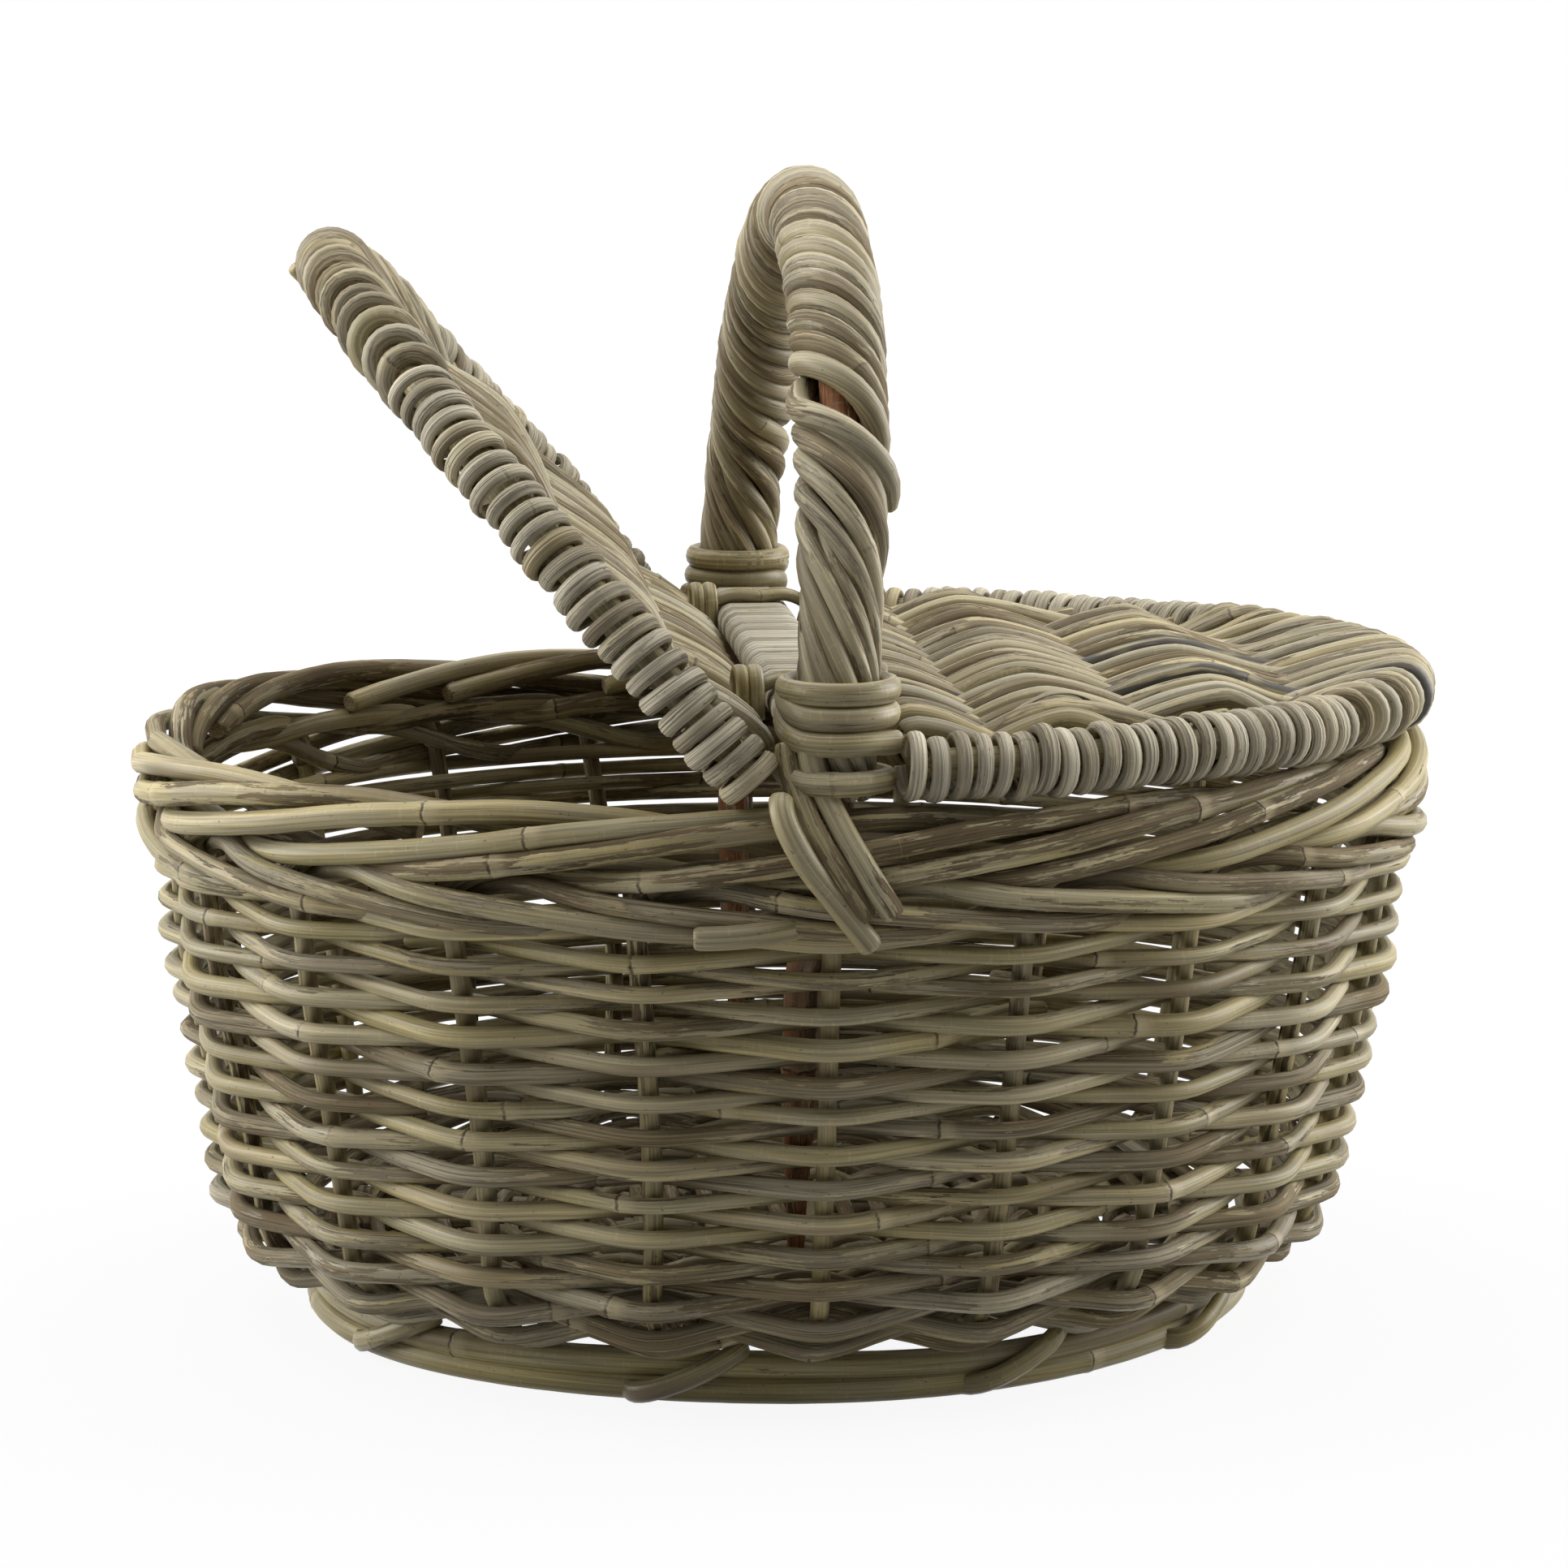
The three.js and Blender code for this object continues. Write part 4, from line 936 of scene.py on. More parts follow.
class BASKET_OT_wall(BasketStep, bpy.types.Operator):
    """Weaves the rows of the wall and the waling above them"""

    bl_idname = "basket.wall"
    bl_label = "Wall"

    def execute(self, context):
        sizes, colours = self.settings(context)
        finish = weaver_finish(colours)
        first = 0.5 * sizes.row
        last = WALL.level_at(LAST_ROW)
        side_top = WALL.level_at(WALE_LOW[2])
        count = round((last - first) / sizes.row) + 1
        corner = Rods("corner", sizes.seed, settled)
        side = Rods("side", sizes.seed, settled)
        wale = Rods("wale", sizes.seed, settled)
        for row, level in enumerate(np.linspace(first, last, count)):
            if level < WALL.shoulder_level:
                rods = corner
            elif level < side_top:
                rods = side
            else:
                rods = wale
            add_row(rods, level, row % 2, sizes.weaver)
        fit(sweep("corner_weave", corner, finish), "basket", "weaver", "bottom_wale")
        fit(sweep("side_weave", side, finish), "basket", "weaver", "siding")
        add_wale_round(wale, WALE_MIDDLE, sizes.wale, len(STAKES) // 2 - WALE_BEFORE_BACK)
        places, heights, out = flow(LOOSE_END).T
        levels = WALL.level_at(heights * MM)
        path = WALL.points(places, levels, out * MM)
        wale.add(path, LOOSE_END_WIDTH * sizes.wale / 2, WALL.outward(places, levels))
        fit(sweep("top_waling", wale, finish), "basket", "weaver", "top_wale")
        return {"FINISHED"}


# The border: each stake's end is bent over, runs behind one stake, comes out in front of the next
# and climbs over the rim. Places are in stakes; out and up are from the middle of the border's foot.
BORDER_COURSE = (
    (0.00, 2.0, -5.0), (0.05, 1.5, 2.0), (0.25, -1.5, 7.5), (0.60, -5.5, 8.5), (1.00, -6.8, 8.0),
    (1.50, -2.0, 4.0), (2.00, 6.4, 6.5), (2.50, 7.2, 11.0), (3.00, 7.0, 16.0), (3.50, 5.8, 21.5),
    (4.00, 3.0, 24.8), (4.50, -1.6, 26.3), (5.00, -5.8, 24.0), (5.50, -8.4, 19.0), (5.85, -10.0, 15.0),
)
BORDER_INSET = 11 * MM
BORDER_VARIETY = (0.9, 1.04)
BORDER_STRETCH = (0.94, 1.06)
# How far the border's rods wander outwards and upwards, in millimetres
BORDER_WANDER = (0.7, 0.9)


class BASKET_OT_border(BasketStep, bpy.types.Operator):
    """Rolls the stakes' ends into the border"""

    bl_idname = "basket.border"
    bl_label = "Border"

    def execute(self, context):
        sizes, colours = self.settings(context)
        rods = Rods("border", sizes.seed, settled)
        length, width = RIM[:2] - BORDER_INSET
        course = flow(BORDER_COURSE)
        for stake in range(len(STAKES)):
            random = rods.random
            line = course.copy()
            for axis, size in enumerate(BORDER_WANDER, 1):
                line[:, axis] += wander(random, course[:, 0], size)
            line[:, 0] *= random.uniform(*BORDER_STRETCH)
            angle = angle_at(stake + line[:, 0])
            outward = oval_outward(angle, length, width)
            middle = on_oval(angle, length, width, BORDER_LOW[2] + line[:, 2] * MM)
            path = middle + outward * line[:, 1:2] * MM
            rods.add(path, sizes.border / 2 * random.uniform(*BORDER_VARIETY), outward)
        fit(sweep("rolled_border", rods, rod_finish(colours), sides=12), "basket", "rod", "border")
        return {"FINISHED"}


# The base and the foot ring

BASE_ROW = 6.2 * MM
BASE_WEAVER = 5.2 * MM
BASE_SPOKE = 6.4 * MM
BASE_ROWS = 17
BASE_VARIETY = (0.92, 1.08)
BASE_INSET = 5 * MM
BASE_LAP = 0.2
# How far the base's weavers swing, as a share of lying right over and under the spokes
BASE_SWING = 0.62
SPOKE_START = 0.9
SPOKE_PAST = 3 * MM
SPOKE_STEPS = 20
# Sticks through the middle, some along and some across, and the share of the middle that they take up
LONG_STICKS = 5
LONG_SPREAD = 1.5
CROSS_STICKS = 9
CROSS_SPREAD = 1.6
STICK_REACH = 1.05
STICK_LIFT = 2.6 * MM
STICK_STEPS = 40


class BASKET_OT_base(BasketStep, bpy.types.Operator):
    """Weaves the oval base on its spokes and sticks"""

    bl_idname = "basket.base"
    bl_label = "Base"

    def execute(self, context):
        sizes, colours = self.settings(context)
        rods = Rods("base", sizes.seed, settled)
        outer = BASE_EDGE[:2] - BASE_INSET
        inner = outer - BASE_ROWS * BASE_ROW
        middle = BASE_LOW[2] + BASE_HALF
        reach = (BASE_SPOKE + BASE_WEAVER) / 2 * BASE_SWING
        for row in range(BASE_ROWS):
            start = rods.random.uniform(0, len(STAKES))
            places = np.arange(start, start + len(STAKES) + BASE_LAP, 1 / PER_STAKE)
            angle = angle_at(places)
            length, width = outer - row * BASE_ROW
            heights = middle + reach * np.cos(math.pi * (places + row))
            path = on_oval(angle, length, width, heights)
            rods.add(path, BASE_WEAVER / 2 * rods.random.uniform(*BASE_VARIETY), UP)
        for angle in angle_at(np.arange(len(STAKES))):
            way = np.array((math.cos(angle), math.sin(angle)))
            share = np.linspace(0, 1, SPOKE_STEPS)[:, None]
            start = inner * SPOKE_START
            flat = way * (start + (outer + SPOKE_PAST - start) * share)
            path = np.concatenate([flat, np.full((SPOKE_STEPS, 1), middle)], 1)
            rods.add(path, BASE_SPOKE / 2, UP)
        along = np.linspace(-STICK_REACH, STICK_REACH, STICK_STEPS)
        level = np.ones(STICK_STEPS)
        for y in np.linspace(-0.5, 0.5, LONG_STICKS) * LONG_SPREAD * inner[1]:
            path = np.stack([along * inner[0], y * level, (middle - STICK_LIFT) * level], 1)
            rods.add(path, BASE_SPOKE / 2, UP)
        for x in np.linspace(-0.5, 0.5, CROSS_STICKS) * CROSS_SPREAD * inner[0]:
            path = np.stack([x * level, along * inner[1], (middle + STICK_LIFT) * level], 1)
            rods.add(path, BASE_SPOKE / 2, UP)
        # The base's darker finish is painted shade, for the shade that falls inside the basket.
        fit(sweep("base_weave", rods, base_painted_shade_finish(colours), sides=8), "basket", "rod", "base_panel")
        return {"FINISHED"}


# A tie's course over the two foot rods: along the ring, out from it, and up, in millimetres
TIE_COURSE = (
    (21, 0.0, 21.0), (17, 5.8, 19.0), (9, 8.4, 14.6), (0, 8.9, 10.2), (-9, 8.4, 6.6), (-16, 5.4, 4.6),
    (-20, 0.5, 4.3),
)
TIE_WIDTH = 7.8 * MM
TIE_FLATNESS = 0.72
FOOT_STEM = 5.0 * MM
FOOT_WIDER = 2.0 * MM
FOOT_LOWER_BY = 1 * MM
# Where each foot rod's lap lies, as an angle, and how far its ends pass each other
FOOT_STARTS = {"foot_rod_lower": 1.9, "foot_rod_upper": 1.2}
FOOT_LAP = 0.16
FOOT_LAP_APART = 3 * MM
FOOT_END_FROM = 0.12
FOOT_END_OVER = 0.28
FOOT_START_OVER = 0.3
FOOT_STEPS = 260
# How often round the foot its rods wave, and how far in and out and down
FOOT_WAVES = 5
FOOT_SWAY = 1.3 * MM
FOOT_SAG = 0.8 * MM


class BASKET_OT_foot(BasketStep, bpy.types.Operator):
    """Lays the two rods of the foot ring and ties them"""

    bl_idname = "basket.foot"
    bl_label = "Foot ring"

    def execute(self, context):
        sizes, colours = self.settings(context)
        length, width = FOOT_EDGE[:2] - FOOT_ROD_RADIUS + FOOT_WIDER
        levels = {"foot_rod_lower": (FOOT_LOW[2], 0.0),
                  "foot_rod_upper": (UPPER_FOOT_LOW[2] - FOOT_LOWER_BY, FOOT_SAG)}
        for node, start in FOOT_STARTS.items():
            low, sag = levels[node]
            rods = Rods(node, sizes.seed, settled)
            angle = np.linspace(start, start + TAU + FOOT_LAP, FOOT_STEPS)
            lap = ease((angle - start - TAU + FOOT_END_FROM) / FOOT_END_OVER)
            lap = lap - ease((start + FOOT_LAP - angle) / FOOT_START_OVER)
            wave = np.sin(FOOT_WAVES * angle + start)
            out = FOOT_SWAY * wave - FOOT_LAP_APART * lap
            heights = low + FOOT_STEM - sag * (1 + wave)
            path = on_oval(angle, length + out, width + out, heights)
            rods.add(path, FOOT_STEM, unit(path * (1, 1, 0)))
            stem = sweep(node + "_stem", rods, rod_finish(colours), sides=12, relief=0.06)
            fit(stem, "basket", "rod", node)
        rods = Rods("ties", sizes.seed, settled)
        course = flow(TIE_COURSE)
        ties = nodes_named("foot_tie_")
        for node in ties:
            low, high = corners(node)
            middle = (low + high) / 2
            angle = math.atan2(middle[1] / width, middle[0] / length)
            per_turn = math.hypot(length * math.sin(angle), width * math.cos(angle))
            angles = angle + course[:, 0] * MM / per_turn
            outward = oval_outward(angles, length, width)
            ring = on_oval(angles, length, width, course[:, 2] * MM)
            path = ring + outward * course[:, 1:2] * MM
            rods.add(path, TIE_WIDTH / 2, outward, step=3 * MM)
        tied = sweep("foot_ties", rods, lash_finish(colours), flatness=TIE_FLATNESS)
        fit(tied, "basket", "lashing", *ties)
        return {"FINISHED"}


# The handle: a core in a hoop, wrapped by strands. Short strands fill the wrapping out at the legs.

STRAND_TURNS = 6.6
STRAND_RADIUS = 12.5 * MM
STRAND_VARIETY = (0.94, 1.06)
# How far a strand strays: as a share of the space for one, in radians round the core, and outwards
STRAND_STRAY = 0.05
STRAND_SWAY = 0.05
STRAND_SWAY_LENGTH = 14 * MM
STRAND_LIFT = 0.35 * MM
STRAND_LIFT_LENGTH = 9 * MM
STRAND_FOOT = 0.5 * MM
# The front leg is a little slimmer than the back one
LEG_SLIMMER = 1.5 * MM
# Round a leg's foot: a long strand (True) or a short one that runs out higher up
LEG_STRANDS = (True, True, False, True, True, False, True, True, False, True, False)
LONG_STRANDS = [i for i, is_long in enumerate(LEG_STRANDS) if is_long]
SHORT_STRANDS = [i for i, is_long in enumerate(LEG_STRANDS) if not is_long]
# Strands are thinner at the legs. Short ones sink in and thin out as they run out.
LEG_STRAND_WIDTH = 0.8
SHORT_SINKS = 5.5 * MM
SHORT_SINKS_BY = 1.4
SHORT_THINS = 0.4
# Strands turn more slowly along the legs, which eases off between two lengths from the foot
STEEP_RATE = 0.45
STEEP_FROM = 45 * MM
STEEP_TO = 125 * MM
HOOP_STEPS = 700
# How the hoop leaves its plane: bowed both ways, aside at the top, and aside at each foot
HOOP_BOW = 1.5 * MM
HOOP_ASIDE = 0.9 * MM
FRONT_FOOT_ASIDE = 0.8 * MM
BACK_FOOT_ASIDE = -5.0 * MM
# A broken strand has slipped down over the next one: it leaves a gap above it, and its end stands off.
# Places on the hoop are angles from its front foot.
BROKEN_STRAND = 6
BREAK = (0.5, 0.545)
SLIP_TURN = 0.7
SLIP_REACH_DOWN = 0.15
SLIP_REACH_UP = 0.08
# For each strand that moved: how far down, in strands, and how far out
SLIPS = {BROKEN_STRAND: (0.95, 2.7 * MM), BROKEN_STRAND - 1: (0.25, -1.5 * MM), 0: (-0.22, 0.0)}
LOOSE_LIFT = 2.2 * MM
LOOSE_REACH = 17 * MM
# Inside the wall the core is cut to a long point. At the front it leans, in the first quarter of its depth.
CORE_LEAN = 9.5 * MM
CORE_LEAN_BY = 4
CORE_SLIM = 6.2 * MM
CORE_POINT = 3.0 * MM
CORE_NUMBER = 0.05
CORE_LEG_STEPS = 40
CORE_ARCH_STEPS = 160


def hoop(turn):
    """Points of the hoop's middle, from the front foot over the top to the back foot."""
    turn = np.asarray(turn, float)
    across = (HOOP_LEAN + HOOP_ASIDE) * np.sin(turn) + HOOP_BOW * np.sin(2 * turn)
    aside = np.where(turn < math.pi / 2, FRONT_FOOT_ASIDE, BACK_FOOT_ASIDE)
    across = across + aside * (1 - np.sin(turn))
    return np.stack([across, -HOOP_SPAN * np.cos(turn), RIM[2] + HOOP_RISE * np.sin(turn)], -1)


def hoop_turn(height):
    """The angle on the hoop's front leg at a height."""
    return math.asin((height - RIM[2]) / HOOP_RISE)


def hoop_out(turn):
    """The way out from the hoop within its plane."""
    along = unit(hoop(turn + SMALL_TURN) - hoop(turn - SMALL_TURN))
    return np.cross(along, HOOP_SIDE)


class Winding:
    """Where strands run round the hoop, from the front foot to the back foot."""

    def __init__(self):
        foot = hoop_turn(RIM[2] + STRAND_FOOT)
        self.turn = np.linspace(foot, math.pi - foot, HOOP_STEPS)
        self.middle = hoop(self.turn)
        self.in_plane = hoop_out(self.turn)
        self.run = lengths_along(self.middle)
        self.in_front = self.run < self.run[-1] / 2
        from_foot = np.minimum(self.run, self.run[-1] - self.run)
        self.spread = ease((from_foot - STEEP_FROM) / (STEEP_TO - STEEP_FROM))
        rate = STEEP_RATE + (1 - STEEP_RATE) * self.spread
        wound = np.concatenate([[0], np.cumsum((rate[1:] + rate[:-1]) / 2 * np.diff(self.run))])
        self.wound = wound / wound[-1] * STRAND_TURNS
        self.slimmer = LEG_SLIMMER * (1 - self.spread) * self.in_front
        reach = np.where(self.turn < SLIP_TURN, SLIP_REACH_DOWN, SLIP_REACH_UP)
        self.slip = np.exp(-((self.turn - SLIP_TURN) / reach) ** 2)

    def add(self, rods, places, at_leg, at_top, lift, radius):
        """Adds a strand over some places, with its share of the way round at the legs and at the top."""
        random = rods.random
        run = self.run[places]
        phase = at_leg + (at_top - at_leg) * self.spread[places]
        phase = phase + random.normal(0, STRAND_STRAY / len(LONG_STRANDS))
        angle = TAU * (phase - self.wound[places]) + wander(random, run / STRAND_SWAY_LENGTH, STRAND_SWAY)
        out = HOOP_SIDE * np.cos(angle)[:, None] + self.in_plane[places] * np.sin(angle)[:, None]
        lift = lift - self.slimmer[places] + wander(random, run / STRAND_LIFT_LENGTH, STRAND_LIFT)
        path = self.middle[places] + out * lift[:, None]
        rods.add(path, radius * random.uniform(*STRAND_VARIETY), out)


class BASKET_OT_handle(BasketStep, bpy.types.Operator):
    """Bends the handle's core and winds the strands round it"""

    bl_idname = "basket.handle"
    bl_label = "Handle"

    def core(self, sizes):
        """The core, from its point inside the front wall to the one inside the back wall."""
        rods = Rods("core", sizes.seed)
        heights = np.linspace(CORE_LOW[2], BORDER_LOW[2], CORE_LEG_STEPS)
        inside = RIM[1] - WALL_HALF - HOOP_SPAN
        wall = np.interp(heights, WALL.profile[:, 2], WALL.profile[:, 1]) - inside
        down = (BORDER_LOW[2] - heights) / (BORDER_LOW[2] - CORE_LOW[2])
        below = ease(down * CORE_LEAN_BY)
        front = np.stack([FRONT_FOOT_ASIDE * (1 - ease(down)) - CORE_LEAN * below, -wall, heights], 1)
        back = np.stack([np.full(len(heights), BACK_FOOT_ASIDE), wall, heights], 1)
        arch = hoop(np.linspace(0, math.pi, CORE_ARCH_STEPS))
        slim = CORE_RADIUS + (CORE_SLIM - CORE_RADIUS) * below
        slim = slim + (CORE_POINT - CORE_SLIM) * ease(down * 2 - 1)
        radius = np.concatenate([slim, np.full(len(arch), CORE_RADIUS), slim[::-1]])
        rods.add(np.concatenate([front, arch, back[::-1]]), radius, HOOP_SIDE, number=CORE_NUMBER)
        return rods

    def strands(self, sizes):
        """The long strands from foot to foot, and the short ones on both legs."""
        rods = Rods("strands", sizes.seed)
        winding = Winding()
        radius = sizes.strand / 2
        width = radius * (LEG_STRAND_WIDTH + (1 - LEG_STRAND_WIDTH) * winding.spread)
        everywhere = np.arange(HOOP_STEPS)
        for number, place in enumerate(LONG_STRANDS):
            share, stands_off = SLIPS.get(number, (0.0, 0.0))
            slipped = winding.slip * share / len(LONG_STRANDS)
            at_leg = place / len(LEG_STRANDS) - slipped
            at_top = number / len(LONG_STRANDS) - slipped
            lift = STRAND_RADIUS + stands_off * winding.slip
            if number == BROKEN_STRAND:
                self.broken_strand(rods, winding, at_leg, at_top, slipped, lift, width)
            else:
                winding.add(rods, everywhere, at_leg, at_top, lift, width)
        for leg in (winding.in_front, ~winding.in_front):
            places = everywhere[leg & (winding.spread < 1)]
            spread = winding.spread[places]
            lift = STRAND_RADIUS - SHORT_SINKS * ease(spread * SHORT_SINKS_BY)
            thinned = radius * LEG_STRAND_WIDTH * (1 - SHORT_THINS * spread)
            for place in SHORT_STRANDS:
                at_leg = place / len(LEG_STRANDS)
                at_top = (sum(LEG_STRANDS[:place]) - 0.5) / len(LONG_STRANDS)
                winding.add(rods, places, at_leg, at_top, lift, thinned)
        return rods

    def broken_strand(self, rods, winding, at_leg, at_top, slipped, lift, width):
        """The stump below the break is tucked in, and the long part's end stands off."""
        everywhere = np.arange(HOOP_STEPS)
        places = everywhere[winding.turn < BREAK[0]]
        to_end = winding.run[places[-1]] - winding.run[places]
        tucked = STRAND_RADIUS - SHORT_SINKS * ease(1 - to_end / LOOSE_REACH)
        at_leg_kept = (at_leg + slipped)[places]
        at_top_kept = (at_top + slipped)[places]
        winding.add(rods, places, at_leg_kept, at_top_kept, tucked, width[places])
        places = everywhere[winding.turn > BREAK[1]]
        to_end = winding.run[places] - winding.run[places[0]]
        loose = lift[places] + LOOSE_LIFT * ease(1 - to_end / LOOSE_REACH)
        winding.add(rods, places, at_leg[places], at_top[places], loose, width[places])

    def execute(self, context):
        sizes, colours = self.settings(context)
        core = sweep("handle_core_rod", self.core(sizes), core_finish(colours), sides=14, relief=0.08)
        fit(core, "basket", "core", "handle_core")
        strands = sweep("handle_wrapping", self.strands(sizes), strand_finish(colours), sides=12)
        fit(strands, "basket", "lashing", *nodes_named("handle_strand_"))
        return {"FINISHED"}


# Lashings round the handle's feet

LASH_RADIUS = 17.9 * MM
LASH_FLATNESS = 0.78
# Heights of a lashing's turns outside the leg and inside it
LASH_OUTER = (256.6 * MM, 248.6 * MM, 240.6 * MM, 227.5 * MM)
LASH_INNER = (256.6 * MM, 248.6 * MM, 232.8 * MM, 226.0 * MM)
# Where in a turn a lashing starts down to the inside and on to the next turn, and over how much of it
LASH_DOWN_FROM = 0.08
LASH_ON_FROM = 0.62
LASH_DOWN_OVER = 0.3
# Two rods bind each leg: where they start and end, in turns. The first one's end goes on by some mm.
LASH_RODS = ((-0.5, 2.1), (2.45, 3.55))
LASH_END = 12
LASH_END_STEPS = 6
LASH_STEPS = (190, 80)
LASH_STEP = 3 * MM
# Tails in front of the border, from the lashing down, in millimetres: across, out from the leg's middle,
# and height. The first is the lashing's own end, the others are ends of the handle's strands.
TAILS = (
    ((-18.5, 18.5, 224), (-19, 22.5, 221), (-17, 26.5, 214), (-11, 28.2, 203), (-2, 27.6, 191),
     (11, 25.0, 174)),
    ((-16, 6.5, 240), (-15.5, 8.5, 234), (-14, 11, 228), (-11.9, 15.5, 221.5), (-8.3, 21.5, 213),
     (-3, 26.0, 204), (2.5, 27.6, 195), (9, 26.0, 184)),
    ((-9, 12, 240), (-8.2, 13, 234), (-6, 14, 228), (-2.9, 16.5, 221.5), (1.7, 22.5, 212.5),
     (6.5, 26.4, 204), (11.5, 27.8, 195.5), (18, 26.0, 185)),
)
# Numbers that pick each tail's shade and wear: more worn tones for its bare patches, and darker partly as
# painted shade where the tails hang in the lid's shadow.
TAIL_NUMBERS = (0.5, 0.39, 0.22)
TAIL_VARIETY = (0.94, 1.04)
TAIL_TILT = 0.3


def lash_height(turns):
    """Height of a lashing at a count of turns from the outside of the leg."""
    last = len(LASH_OUTER) - 1
    whole = np.clip(np.floor(turns).astype(int), 0, last)
    part = turns - whole
    outer = np.array(LASH_OUTER)[whole]
    inner = np.array(LASH_INNER)[whole]
    following = np.array(LASH_OUTER)[np.minimum(whole + 1, last)]
    down = outer + (inner - outer) * ease((part - LASH_DOWN_FROM) / LASH_DOWN_OVER)
    on = inner + (following - inner) * ease((part - LASH_ON_FROM) / LASH_DOWN_OVER)
    return np.where(turns < 0, LASH_OUTER[0], np.where(part < 0.5, down, on))


def lash_path(turns, side):
    """A lashing's line round the front leg (-1) or the back leg (1), and the way out from the leg."""
    heights = lash_height(turns)
    turn = np.arcsin(np.clip((heights - RIM[2]) / HOOP_RISE, -1, 1))
    leg = hoop(turn if side < 0 else math.pi - turn)
    angle = turns * TAU
    out = np.stack([-side * np.sin(angle), side * np.cos(angle), 0 * angle], 1)
    middle = np.stack([leg[:, 0], leg[:, 1], heights], 1)
    return middle + out * LASH_RADIUS, out


class BASKET_OT_lashings(BasketStep, bpy.types.Operator):
    """Binds the handle's feet to the rim and lays the tails over the border"""

    bl_idname = "basket.lashings"
    bl_label = "Lashings"

    def execute(self, context):
        sizes, colours = self.settings(context)
        finish = lash_finish(colours)
        for name, side in (("front", -1), ("back", 1)):
            rods = Rods("lash_" + name, sizes.seed)
            radius = sizes.lash / 2
            path, out = lash_path(np.linspace(*LASH_RODS[0], LASH_STEPS[0]), side)
            straight = unit(path[-1] - path[-2])
            further = np.linspace(1, LASH_END, LASH_END_STEPS)[:, None] * MM
            path = np.concatenate([path, path[-1] + straight * further])
            out = np.concatenate([out, np.repeat(out[-1:], LASH_END_STEPS, 0)])
            rods.add(path, radius, out, step=LASH_STEP)
            path, out = lash_path(np.linspace(*LASH_RODS[1], LASH_STEPS[1]), side)
            rods.add(path, radius, out, step=LASH_STEP)
            loose = Rods("tails_" + name, sizes.seed)
            aside = FRONT_FOOT_ASIDE if side < 0 else BACK_FOOT_ASIDE
            for tail, number in zip(TAILS, TAIL_NUMBERS):
                across, outwards, height = np.array(tail).T * MM
                line = flow(np.stack([aside - side * across, side * (HOOP_SPAN + outwards), height], 1))
                thick = radius * rods.random.uniform(*TAIL_VARIETY)
                piece = rods if tail == TAILS[0] else loose
                piece.add(line, thick, (0, side, TAIL_TILT), step=LASH_STEP, number=number)
            bound = sweep(name + "_lashing", rods, finish, flatness=LASH_FLATNESS, sides=12, relief=0.08)
            fit(bound, "basket", "lashing", "handle_lashing_" + name)
            ends = sweep(name + "_strand_ends", loose, rod_finish(colours), flatness=LASH_FLATNESS, sides=12)
            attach(ends, "basket")
        return {"FINISHED"}


# The cross bar and its cane

BAR_WRAP_HALF = 0.7 * MM
BAR_WRAP_GAP = 0.3 * MM
BAR_SQUARENESS = 0.6
BAR_STEPS = 60
CANE_SQUARENESS = 0.75
CANE_OVERLAP = 1.03
CANE_SLANT = 0.4
CANE_SLANT_SHARE = (0.2, 1.0)
CANE_STRAY = 0.15 * MM
BAR_CORNER = 4.2 * MM
BAR_CROWN = 1.3 * MM
BAR_FRONT_ASIDE = 0.5 * MM
BAR_BACK_ASIDE = -2.6 * MM


def bar_aside(y):
    """How far to the side the middle of the bar lies."""
    return np.interp(y, (BAR_LOW[1], BAR_HIGH[1]), (BAR_FRONT_ASIDE, BAR_BACK_ASIDE))


def rounded_loop(half_width, half_height, corner, steps=7):
    """A closed loop with round corners, from the middle of its underside."""
    centres = ((-1, -1, 270), (-1, 1, 180), (1, 1, 90), (1, -1, 0))
    points = [(0.0, -half_height)]
    for x, z, start in centres:
        for turn in np.radians(np.linspace(start, start - 90, steps)):
            points.append((x * (half_width - corner) + corner * math.cos(turn),
                           z * (half_height - corner) + corner * math.sin(turn)))
    return np.array([*points, points[0]])


